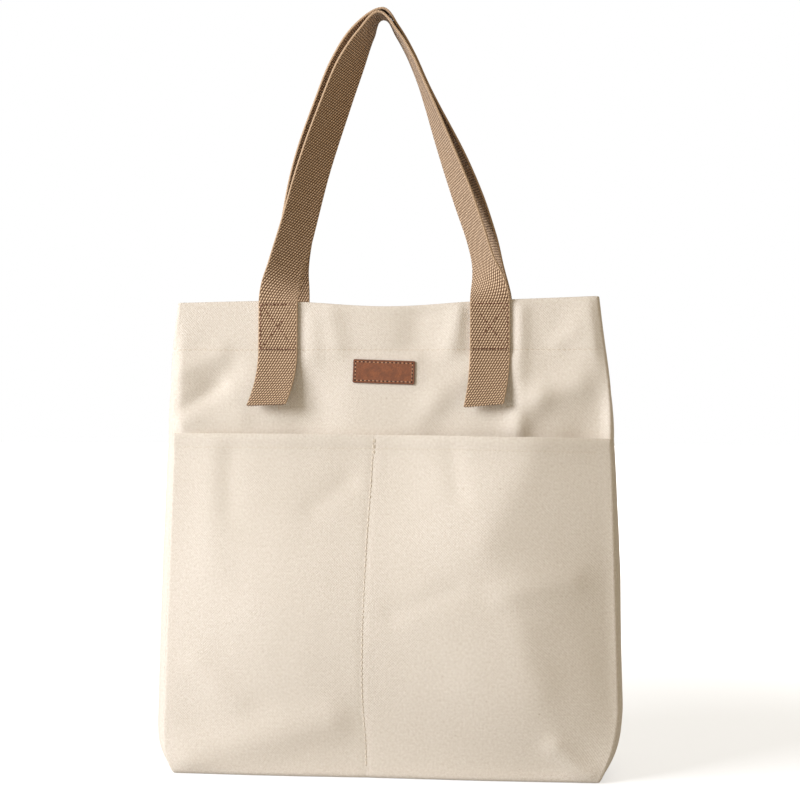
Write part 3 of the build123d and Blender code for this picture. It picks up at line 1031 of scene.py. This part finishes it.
def pocket_lift(x, up):
    """How far the pocket's cloth lies out of the wall's leaning plane."""
    seam = divider_x(up)
    edge = seam_x(1, up) if x > seam else half_width(up)
    share = (x + edge) / (seam + edge) if x < seam else (edge - x) / (edge - seam)
    gape = POCKET_FOOT_GAPE + (POCKET_GAPE - POCKET_FOOT_GAPE) * up / POCKET_TOP
    cell = gape * math.sin(math.pi * min(1, max(0, share))) ** 2
    snug = smooth(0, BELLY_START, up) * (1 - BELLY_EASE * smooth(POCKET_TOP - MOUTH_ZONE, POCKET_TOP, up))
    belly = POCKET_BELLY * (1 - min(1, abs(x) / edge) ** 2) * snug
    near_seam = smooth(0, SEAM_EASE, edge - abs(x)) * smooth(0, DIVIDER_EASE, abs(x - seam))
    near_foot = smooth(0, POCKET_FOOT_EASE, up)
    wavy = near_seam * near_foot * (fold_relief(POCKET_FOLDS, x, up) + rumple(x, up, POCKET_SEED))
    stand = POCKET_STAND + MOUTH_STAND * smooth(POCKET_TOP - STAND_START, POCKET_TOP - STAND_END, up)
    dents = groove(up - POCKET_TOP + POCKET_HEM) + DIVIDER_DENT * groove(x - seam)
    return wall_bow(x, up) + stand + cell + belly + tent(x, up) + wavy - dents - seam_roll(FRONT, x, up)


def pocket_rise(x, up):
    """How far the pocket's mouth is off level, fading downwards."""
    return curve_through(POCKET_CURVE, x) * smooth(POCKET_TOP - MOUTH_ZONE, POCKET_TOP, up)


def pocket_point(share, run):
    """A point of the pocket's cloth."""
    up, out = cloth_run(run, POCKET_TOP)
    level = min(up, POCKET_TOP)
    x = seam_x(share, level)
    return wall_point(FRONT, x, up + pocket_rise(x, up), out + pocket_lift(x, level))


pocket_rows = cloth_rows(POCKET_TOP, POCKET_HEM, 96)
shape = cloth_grid(cloth_columns(132), pocket_rows, pocket_point, BILGE_HALF_WIDTH)
pocket = piece(shape, "front_pocket_cloth", canvas, CANVAS)
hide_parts("front_pocket")
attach(pocket, "bag")

# %% [markdown]
# Inside, the raw edges of the seams are covered with cotton tape. One tape goes down one side
# of a wall, along its foot and up the other side, with rounded corners. Two short ones cross
# the base beside the gussets. A curve with a flat profile could make them, but a grid carried
# along stations keeps the tape lying on the cloth behind it.

# %% Seam bindings
BINDING_WIDTH = 10 * MM
BINDING_INSET = 4 * MM
BINDING_CORNER, CORNER_STEPS = 12 * MM, 8
BINDING_THICKNESS = 1.0 * MM
BINDING_TOP = HEM_LINE - BINDING_INSET
BINDING_CROWN, BINDING_GAP = 0.5 * MM, 0.4 * MM
BINDING_STATION = 5 * MM
BASE_TAPE_INSET = 2 * MM


def binding_route():
    """Middle line of the tape across a wall, as (x, up, sideways x, sideways up) stations."""
    middle = BINDING_INSET + BINDING_WIDTH / 2
    low, corner = middle + BINDING_CORNER, half_width(2 * BINDING_CORNER) - middle - BINDING_CORNER
    side_ups = [low + place for place in spaced((BINDING_TOP - low, 60))]
    right = [(half_width(up) - middle, up, -1, 0) for up in reversed(side_ups)]
    for i in range(1, CORNER_STEPS):
        angle = math.pi / 2 * i / CORNER_STEPS
        x, up = math.cos(angle), -math.sin(angle)
        right.append((corner + BINDING_CORNER * x, low + BINDING_CORNER * up, -x, -up))
    foot = [(corner - place, middle, 0, 1) for place in spaced((2 * corner, 60))]
    left = [(-x, up, -side_x, side_up) for x, up, side_x, side_up in reversed(right)]
    return right + foot + left


route = binding_route()
tape_across = centred(BINDING_WIDTH, 6)


def binding_point(side, across, station):
    """A point of a seam's tape, on the inside of a wall."""
    x, up, side_x, side_up = route[round(station)]
    x, up = x + across * side_x, up + across * side_up
    crown = BINDING_CROWN * (1 - (2 * across / BINDING_WIDTH) ** 2)
    return wall_point(side, x, up, panel_lift(side, x, up) - CANVAS - BINDING_GAP - crown)


for side, wall, body in WALLS:
    shape = cloth_grid(
        tape_across,
        list(range(len(route))),
        lambda across, station: binding_point(side, across, station),
        flat_along=BINDING_STATION,
    )
    binding = piece(shape, f"{wall}_seam_tape", tape, BINDING_THICKNESS, 0.0)
    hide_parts(f"{wall}_seam_binding")
    length = sum(math.dist(a[:2], b[:2]) for a, b in zip(route, route[1:]))
    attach(binding, body)


def tape_crown(across):
    """How high a tape's middle line stands on the base, fuller along the middle."""
    return BINDING_THICKNESS * (1.1 - (2 * across / BINDING_WIDTH) ** 2 / 2)


for hand, name in ((LEFT, "left_base"), (RIGHT, "right_base")):
    middle = hand * (BASE_HALF_WIDTH - BINDING_INSET - BINDING_WIDTH / 2 - CANVAS)
    reach = BASE_HALF_DEPTH - BINDING_INSET - BASE_TAPE_INSET
    shape = cloth_grid(
        tape_across,
        centred(2 * reach, 30),
        lambda x, y: base_point(middle + x, y) + Vector((0, 0, tape_crown(x))),
    )
    binding = piece(shape, f"{name}_tape", tape, BINDING_THICKNESS, 0.0)
    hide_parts(f"{name}_binding")
    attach(binding, "bag")

# %% [markdown]
# The handles. One length of webbing is sewn flat to the wall, rises as a leg, turns edge-on to
# pass over the top and comes down the other leg. A circle's arc would be quicker, but a soft
# strap leans and sags, so its middle line goes through a few chosen points, with smooth curved
# spans between them. Each leg has a share of the handles' spread at each share of the rise. A
# table says how far the strap has turned: 0 to 1 up the left leg, on to 2 down the right one.

# %% Handle routes
WEBBING_THICKNESS = 1.9 * MM
STRAP_STAND = WEBBING_THICKNESS / 2 + 0.3 * MM
HANDLE_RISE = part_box("front_handle_loop")[1].z - WEBBING_THICKNESS / 2 - RIM_HEIGHT
BACK_HANDLE_LIFT = 4 * MM
HANDLE_TOP_OFFSET = 3 * MM
LEG_RISES = {
    LEFT: (0, 0.125, 0.242, 0.472, 0.706, 0.823, 0.94),
    RIGHT: (0, 0.125, 0.242, 0.472, 0.706, 0.844, 0.94),
}
LEG_SPREADS = {
    (FRONT, LEFT): (1, 0.94, 0.86, 0.708, 0.5, 0.378, 0.216),
    (FRONT, RIGHT): (1, 0.94, 0.852, 0.622, 0.38, 0.226, 0.072),
    (BACK, LEFT): (1, 0.99, 0.936, 0.803, 0.578, 0.449, 0.28),
    (BACK, RIGHT): (1, 1.0, 0.935, 0.7, 0.394, 0.23, 0.084),
}
TOP_SHARE = {FRONT: -0.08, BACK: -0.05}
STRAP_TURN = [
    (0, 0), (0.04, 7), (0.1, 28), (0.242, 35), (0.357, 39), (0.472, 42), (0.589, 44), (0.706, 48),
    (0.823, 54), (0.94, 74), (1, 88), (1.06, 95), (1.156, 99), (1.235, 101), (1.294, 105), (1.411, 113),
    (1.528, 119), (1.643, 123), (1.758, 122), (1.84, 123), (1.884, 130), (1.933, 148), (2, 180),
]


def handle_points(side):
    """Points of a handle's middle line, from its left foot over the top to its right foot."""
    foot = wall_point(side, 0, WALL_LENGTH, STRAP_STAND)
    top_y = side * HANDLE_TOP_OFFSET
    rise = HANDLE_RISE + (BACK_HANDLE_LIFT if side == BACK else 0)

    def at(hand, spread, up):
        x = hand * spread * HANDLE_HALF_SPREAD + FOOT_SHIFT[hand] * (1 - up)
        return Vector((x, foot.y + (1 - (1 - up) ** 2) * (top_y - foot.y), foot.z + up * rise))

    left, right = (
        [at(hand, spread, up) for spread, up in zip(LEG_SPREADS[side, hand], LEG_RISES[hand])]
        for hand in (LEFT, RIGHT)
    )
    return left + [at(RIGHT, TOP_SHARE[side], 1)] + right[::-1]


def smooth_path(points, first, last, steps):
    """Points along curved spans through given points, with given directions at the ends."""
    inner = [(after - before).normalized() for before, after in zip(points, points[2:])]
    ways = [first, *inner, last]
    path = [points[0]]
    for a, b, way_a, way_b in zip(points, points[1:], ways, ways[1:]):
        reach = (b - a).length / 3
        path += geometry.interpolate_bezier(a, a + way_a * reach, b - way_b * reach, b, steps + 1)[1:]
    return path


def running_lengths(path):
    """Distance along a path at each of its points."""
    lengths = [0.0]
    for a, b in zip(path, path[1:]):
        lengths.append(lengths[-1] + (b - a).length)
    return lengths


print("handle rises", round(HANDLE_RISE, 3), "m above the rim")

# %% [markdown]
# The strap itself. Its stations hold a middle point and the direction across the strap. A curve
# with a flat profile could follow the same line, but it picks its own twist, and here the twist
# is chosen. So a grid is carried along the stations, cupped a little as webbing is, and gets its
# thickness and rounded edges from modifiers.

# %% Handle straps
STRAP_CUP = 0.5 * MM
STRAP_SWAY = 0.35 * MM
SWAY_WAVE, SWAY_SEED = (30 * MM, 50 * MM), 7
STRAP_STEPS = 12
ANCHOR_STEPS = 12
EDGE_ROUNDING, ROUNDED_ANGLE = 0.5 * MM, math.radians(60)
LENGTH_DIGITS = 9
strap_across = centred(WEBBING_WIDTH, 12)


def strap_stations(side):
    """(middle, across) along a whole handle, from one hem stitch row to the other."""
    up_wall = (wall_point(side, 0, 1, 0) - wall_point(side, 0, 0.5, 0)).normalized()
    path = smooth_path(handle_points(side), up_wall, -up_wall, STRAP_STEPS)
    top = max(range(len(path)), key=lambda i: path[i].z)
    loop = []
    for i, point in enumerate(path):
        share = (point.z - path[0].z) / (path[top].z - path[0].z)
        turn = math.radians(curve_through(STRAP_TURN, share if i < top else 2 - share))
        loop.append((point, Vector((-math.cos(turn), -math.sin(turn), 0))))
    ups = [HEM_LINE + place for place in spaced((HEM_DEPTH, ANCHOR_STEPS))][:-1]
    left, right = (
        [(wall_point(side, foot_x(hand), up, STRAP_STAND), Vector((hand, 0, 0))) for up in ups]
        for hand in (LEFT, RIGHT)
    )
    return left + loop + right[::-1]


def strap_shape(stations, start_length, square=True):
    """A strap carried along its stations, cupped across its width."""
    middles = [middle for middle, _ in stations]
    lengths = running_lengths(middles)
    rows = {round(start_length + length, LENGTH_DIGITS): i for i, length in enumerate(lengths)}

    def place(across, length):
        i = rows[round(length, LENGTH_DIGITS)]
        middle, sideways = stations[i]
        along = (middles[min(i + 1, len(middles) - 1)] - middles[max(i - 1, 0)]).normalized()
        if square:
            sideways = (sideways - along * sideways.dot(along)).normalized()
        face = along.cross(sideways).normalized()
        cup = STRAP_CUP * (2 * across / WEBBING_WIDTH) ** 2
        wave = Vector((across / SWAY_WAVE[0], length / SWAY_WAVE[1], SWAY_SEED))
        return middle + sideways * across + face * (cup + STRAP_SWAY * noise.noise(wave))

    return cloth_grid(strap_across, [start_length + length for length in lengths], place), lengths[-1]


def round_edges(strap):
    """Rounds the cut and selvage edges of a strap."""
    rounding = strap.modifiers.new("edges", "BEVEL")
    rounding.width = EDGE_ROUNDING
    rounding.segments = 2
    rounding.limit_method = "ANGLE"
    rounding.angle_limit = ROUNDED_ANGLE


for side, wall, body in WALLS:
    shape, length = strap_shape(strap_stations(side), 0.0)
    strap = piece(shape, f"{wall}_handle_webbing", webbing, WEBBING_THICKNESS, 0.0)
    round_edges(strap)
    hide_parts(f"{wall}_handle_loop", f"{wall}_left_handle_anchor", f"{wall}_right_handle_anchor")
    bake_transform(strap)

# %% [markdown]
# Below the stitched hem each strap end hangs loose. It stands off the wall towards its cut end
# and drifts to one side. Each tail is a piece of its own that starts at the stitch row.

# %% Loose tails
TAIL_LENGTH = 45 * MM
TAIL_KICK = 8.5 * MM
TAIL_STEPS = 24
TAIL_DRIFT = {
    (FRONT, LEFT): -7.8 * MM, (FRONT, RIGHT): -4.5 * MM, (BACK, LEFT): 4 * MM, (BACK, RIGHT): 4 * MM,
}
TAIL_TILT = {(FRONT, LEFT): 0.04, (FRONT, RIGHT): 0.09, (BACK, LEFT): -0.05, (BACK, RIGHT): 0.04}
tail_ends = {}


def tail_stations(side, hand):
    """(middle, across) down a loose tail."""
    stations = []
    for i in range(TAIL_STEPS + 1):
        share = i / TAIL_STEPS
        x = foot_x(hand) + TAIL_DRIFT[side, hand] * share**2
        out = STRAP_STAND + TAIL_KICK * share**2
        tilt = TAIL_TILT[side, hand] * share
        middle = wall_point(side, x, HEM_LINE - share * TAIL_LENGTH, out)
        stations.append((middle, Vector((math.cos(tilt), 0, math.sin(tilt)))))
    return stations


for side, wall, body in WALLS:
    for hand, end in ENDS:
        stations = tail_stations(side, hand)
        shape, length = strap_shape(stations, -TAIL_LENGTH, square=False)
        tail = piece(shape, f"{wall}_{end}_tail_webbing", webbing, WEBBING_THICKNESS, 0.0)
        round_edges(tail)
        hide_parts(f"{wall}_{end}_handle_tail")
        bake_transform(tail)
        tail_ends[side, hand] = (f"{wall}_{end}_tail", stations[-1], stations[-2][0])

# %% [markdown]
# A small leather label is sewn below the hem. It starts as a flat sheet whose corners are
# rounded with a vertex bevel. Its edge is extruded back to the cloth, and a few insets press
# the sewing groove into its face. A bump could draw the groove, but its two edges catch the
# light, so it is modelled.

# %% Leather label
LABEL_THICKNESS = 1.4 * MM
LABEL_TILT = math.radians(-1.9)
LABEL_SHIFT = (-1.2 * MM, -0.8 * MM)
LABEL_STAND, LABEL_SINK = 0.1 * MM, 0.25 * MM
LABEL_CORNER = 1.2 * MM
LABEL_STEPS = [(0.35, 0.25), (0.9, 0.0), (0.3, -0.2), (0.5, 0.0), (0.3, 0.2)]
label_place = (
    Matrix.Translation(wall_point(FRONT, LABEL_SHIFT[0], LABEL_UP + LABEL_SHIFT[1], LABEL_STAND))
    @ Matrix.Rotation(math.pi / 2 - WALL_LEAN, 4, "X")
    @ Matrix.Rotation(LABEL_TILT, 4, "Z")
)

shape = bmesh.new()
bmesh.ops.create_grid(shape, x_segments=20, y_segments=8, size=0.5)
bmesh.ops.scale(shape, verts=shape.verts, vec=(LABEL_WIDTH, LABEL_HEIGHT, 1))
corners = [vert for vert in shape.verts if len(vert.link_edges) == 2]
bmesh.ops.bevel(
    shape, geom=corners, offset=LABEL_CORNER, segments=4, profile=0.5, affect="VERTICES", material=-1
)
top = list(shape.faces)
rim = [edge for edge in shape.edges if edge.is_boundary]
skirt = bmesh.ops.extrude_edge_only(shape, edges=rim)["geom"]
lowered = [part for part in skirt if isinstance(part, bmesh.types.BMVert)]
bmesh.ops.translate(shape, verts=lowered, vec=(0, 0, -LABEL_THICKNESS))
for thickness, depth in LABEL_STEPS:
    bmesh.ops.inset_region(shape, faces=top, thickness=thickness * MM, depth=depth * MM)
bmesh.ops.recalc_face_normals(shape, faces=shape.faces)
bmesh.ops.translate(shape, verts=shape.verts, vec=(0, 0, LABEL_THICKNESS - LABEL_SINK))
flat = shape.loops.layers.uv.new("Cloth")
for face in shape.faces:
    for loop in face.loops:
        loop[flat].uv = loop.vert.co.xy
bmesh.ops.transform(shape, matrix=label_place, verts=shape.verts)
label = piece(shape, "label_leather", leather)
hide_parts("label_patch")
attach(label, "bag")

# %% [markdown]
# Stitches are the smallest modelled detail: each one is a slim thread with few faces that dips
# into the cloth at both ends. A drawn dashed line would do from afar, but real thread stands up
# and throws its own small shadow. A row is sewn along a line on a surface. The line is a
# function that gives, for a distance, the place and the direction out of the cloth.

# %% Sewing helpers
THREAD = 0.38 * MM
THREAD_FLATNESS = 0.8
THREAD_STAND = 0.25
BEAD_SINK = 0.5
BALL_SEGMENTS, BALL_RINGS = 6, 5


def stitch(shape, start, end, outwards, radius):
    """One stitch between two needle holes."""
    along = end - start
    across = along.cross(outwards).normalized()
    up = across.cross(along).normalized()
    turn = Matrix((across, up, along.normalized())).transposed().to_4x4()
    size = Matrix.Diagonal((radius, radius * THREAD_FLATNESS, along.length / 2, 1))
    place = Matrix.Translation((start + end) / 2 + outwards * radius * THREAD_STAND) @ turn @ size
    bmesh.ops.create_uvsphere(
        shape, u_segments=BALL_SEGMENTS, v_segments=BALL_RINGS, radius=1, matrix=place
    )


def sew(shape, line, length, pitch, radius=THREAD, cover=0.8):
    """A row of stitches along a line, each covering a share of its pitch."""
    count = max(1, round(length / pitch))
    step = length / count
    for i in range(count):
        start, _ = line(i * step + step * (1 - cover) / 2)
        end, outwards = line((i + 1) * step - step * (1 - cover) / 2)
        stitch(shape, start, end, outwards, radius)


def pierce(shape, line, length, pitch, radius):
    """A row of needle holes between stitches, as small dark beads of painted shade sunk into the face."""
    count = max(1, round(length / pitch))
    for i in range(count + 1):
        place, outwards = line(length * i / count)
        middle = Matrix.Translation(place - outwards * radius * BEAD_SINK)
        bmesh.ops.create_uvsphere(
            shape, u_segments=BALL_SEGMENTS, v_segments=BALL_RINGS, radius=radius, matrix=middle
        )


def sewn_piece(shape, name, material, body):
    """A piece of sewing that rides on a body."""
    for face in shape.faces:
        face.smooth = True
    made_piece = piece(shape, name, material)
    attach(made_piece, body)


def wall_out(side):
    """The direction out of a wall."""
    return (wall_point(side, 0, 0.1, 0.1) - wall_point(side, 0, 0.1, 0)).normalized()


print("thread is", 2 * THREAD / MM, "mm thick")

# %% [markdown]
# Rows on the canvas: the hem's row on both walls, outside and inside, the pocket's hem row and
# the dividing seam, which starts with a few stitches over each other at the mouth. The rows read
# the cloth's own lift, so that they follow every fold.

# %% Canvas stitching
HEM_PITCH = 4.2 * MM
POCKET_PITCH = 3.6 * MM
SIDE_MARGIN = 5 * MM
INSIDE_RISE = 1.2 * MM
DIVIDER_PITCH, DIVIDER_THREAD, DIVIDER_COVER = 4.5 * MM, 0.6 * MM, 0.66
DIVIDER_START, DIVIDER_LENGTH = 1.5 * MM, POCKET_TOP - 12 * MM
DIVIDER_HOLE = 0.7 * MM
TACK_STITCHES, TACK_THREAD = 3, 0.5 * MM
TACK_SHIFT = Vector((1.0 * MM, -0.3 * MM, 0))


def hem_line(side, inside):
    """The hem's stitch line on a wall, on its outside or its inside face."""
    reach = half_width(HEM_LINE) - SIDE_MARGIN
    out = wall_out(side) * (-1 if inside else 1)
    depth = -2 * RIM_FOLD if inside else 0
    up = HEM_LINE + (INSIDE_RISE if inside else 0)

    def line(run):
        x = run - reach
        return wall_point(side, x, up, panel_lift(side, x, up) + depth), out

    return line, 2 * reach


for side, wall, body in WALLS:
    shape = bmesh.new()
    for inside in (False, True):
        sew(shape, *hem_line(side, inside), HEM_PITCH)
    sewn_piece(shape, f"{wall}_hem_stitching", cream_thread, body)


def pocket_hem_line(run):
    """The stitch line below the pocket's mouth."""
    x = run - half_width(POCKET_TOP) + SIDE_MARGIN
    up = POCKET_TOP - POCKET_HEM
    return wall_point(FRONT, x, up + pocket_rise(x, up), pocket_lift(x, up)), wall_out(FRONT)


def divider_line(run):
    """The dividing seam, from the pocket's mouth down to its foot."""
    up = POCKET_TOP - DIVIDER_START - run
    x = divider_x(up)
    return wall_point(FRONT, x, up, pocket_lift(x, up)), wall_out(FRONT)


def back_tack_line(run):
    """The doubled stitches at the top of the dividing seam."""
    place, outwards = divider_line(run)
    return place + TACK_SHIFT, outwards


shape = bmesh.new()
sew(shape, pocket_hem_line, 2 * (half_width(POCKET_TOP) - SIDE_MARGIN), POCKET_PITCH)
sewn_piece(shape, "pocket_hem_stitching", pale_thread, "bag")
shape = bmesh.new()
sew(shape, divider_line, DIVIDER_LENGTH, DIVIDER_PITCH, DIVIDER_THREAD, DIVIDER_COVER)
sew(shape, back_tack_line, TACK_STITCHES * DIVIDER_PITCH, DIVIDER_PITCH, TACK_THREAD)
sewn_piece(shape, "divider_stitching", pale_thread, "bag")
# Soft dark beads paint the shade in the divider's needle holes.
holes = bmesh.new()
pierce(holes, divider_line, DIVIDER_LENGTH, DIVIDER_PITCH, DIVIDER_HOLE)
sewn_piece(holes, "divider_hole_shade", hole_shade_soft, "bag")

# %% [markdown]
# The handle ends are sewn down with strong brown thread: a row across at the rim, a row across
# at the foot of the hem, one along each selvage and a cross from corner to corner. The rows are
# straight, because the webbing lies flat here, so two corners are enough to say where each runs.

# %% Handle stitching
ANCHOR_PITCH = 3.2 * MM
ANCHOR_THREAD, ANCHOR_COVER = 0.7 * MM, 0.76
CROSS_THREAD, CROSS_COVER = 0.55 * MM, 0.7
SELVAGE_INSET = 1.9 * MM
ROW_INSET, ROW_RISE = 1.2 * MM, 0.5 * MM
ROW_SINK = 0.15 * MM


def strap_line(side, start, end):
    """A straight stitch line on a strap's outside face, between two (x, up) places."""
    out = wall_out(side)
    run_length = math.dist(start, end)

    def line(run):
        share = run / run_length
        x, up = (a + share * (b - a) for a, b in zip(start, end))
        return wall_point(side, x, up, STRAP_STAND + WEBBING_THICKNESS / 2 - ROW_SINK), out

    return line, run_length


low, high = HEM_LINE + ROW_RISE, WALL_LENGTH - ROW_INSET
for side, wall, body in WALLS:
    shape = bmesh.new()
    for hand in (LEFT, RIGHT):
        near = foot_x(hand) - WEBBING_WIDTH / 2 + SELVAGE_INSET
        far = foot_x(hand) + WEBBING_WIDTH / 2 - SELVAGE_INSET
        corners = [(near, low), (far, low), (far, high), (near, high)]
        for start, end in zip(corners, corners[1:] + corners[:1]):
            sew(shape, *strap_line(side, start, end), ANCHOR_PITCH, ANCHOR_THREAD, ANCHOR_COVER)
        for start, end in (corners[0::2], corners[1::2]):
            sew(shape, *strap_line(side, start, end), ANCHOR_PITCH, CROSS_THREAD, CROSS_COVER)
    sewn_piece(shape, f"{wall}_handle_stitching", brown_thread, body)

# %% [markdown]
# The label's own row runs round its edge, in the pressed groove. Its stitches are short, with a
# dark needle hole of painted shade at each end, because leather keeps an open hole where cloth closes up.

# %% Label stitching
LABEL_PITCH = 3.2 * MM
LABEL_ROW_INSET = 2.0 * MM
LABEL_THREAD, LABEL_COVER = 0.45 * MM, 0.5
LABEL_HOLE = 0.8 * MM
half_x, half_y = LABEL_WIDTH / 2 - LABEL_ROW_INSET, LABEL_HEIGHT / 2 - LABEL_ROW_INSET
label_face = LABEL_THICKNESS - 0.1 * MM
corners = [Vector((x * half_x, y * half_y, label_face)) for x, y in ((-1, -1), (1, -1), (1, 1), (-1, 1))]
label_out = (label_place.to_3x3() @ Vector((0, 0, 1))).normalized()


def label_line(start, end):
    """A straight stitch line on the label, between two corners of its row."""
    run_length = (end - start).length
    return lambda run: (label_place @ start.lerp(end, run / run_length), label_out), run_length


shape, holes = bmesh.new(), bmesh.new()
for start, end in zip(corners, corners[1:] + corners[:1]):
    line, length = label_line(start, end)
    sew(shape, line, length, LABEL_PITCH, LABEL_THREAD, LABEL_COVER)
    pierce(holes, line, length, LABEL_PITCH, LABEL_HOLE)
sewn_piece(holes, "label_hole_shade", hole_shade_dark, "bag")
sewn_piece(shape, "label_stitching", tan_thread, "bag")

# %% [markdown]
# The straps' cut ends fray. Hair could grow there, but a few short cones are lighter and keep
# their place when a tail moves. A short yarn stands at every few millimetres along each cut,
# with a slight lean of its own, and the front left tail keeps one longer loose thread. The leans
# are drawn from noise with a fixed seed, so that every run frays the ends alike.

# %% Frayed ends
YARN_STUBS = 15
STUB_LENGTH, STUB_RADIUS = 1.8 * MM, 0.55 * MM
STUB_LEAN, STUB_ROOT = 0.35, 0.6 * MM
STUB_SPREAD = 0.94
STUB_SEED = 7
LOOSE_THREAD, LOOSE_RADIUS = 5 * MM, 0.3 * MM
LOOSE_PLACE, LOOSE_LEAN = 0.32, Vector((0.35, -0.2, 0))


def yarn_end(shape, place, way, length, radius):
    """A cut yarn that tapers to its tip."""
    turn = way.to_track_quat("Z", "Y").to_matrix().to_4x4()
    middle = Matrix.Translation(place + way * length / 2) @ turn
    bmesh.ops.create_cone(
        shape, cap_ends=True, segments=6, radius1=radius, radius2=radius * 0.5, depth=length, matrix=middle
    )


noise.seed_set(STUB_SEED)
for (side, hand), (tail_body, (middle, across), before) in tail_ends.items():
    down = (middle - before).normalized()
    shape = bmesh.new()
    for i in range(YARN_STUBS):
        share = (i + 0.5) / YARN_STUBS - 0.5
        lean = noise.noise_vector(Vector((i * 1.7, side * 3.1, hand * 5.3)))
        way = (down + lean * STUB_LEAN).normalized()
        length = STUB_LENGTH * (0.7 + 0.5 * abs(lean.x))
        root = middle + across * share * WEBBING_WIDTH * STUB_SPREAD - down * STUB_ROOT
        yarn_end(shape, root, way, length, STUB_RADIUS)
    if (side, hand) == (FRONT, LEFT):
        corner = middle + across * WEBBING_WIDTH * LOOSE_PLACE
        way = (down + LOOSE_LEAN).normalized()
        yarn_end(shape, corner - down * MM, way, LOOSE_THREAD, LOOSE_RADIUS)
    sewn_piece(shape, f"{tail_body}_fray", yarn_brown, tail_body)
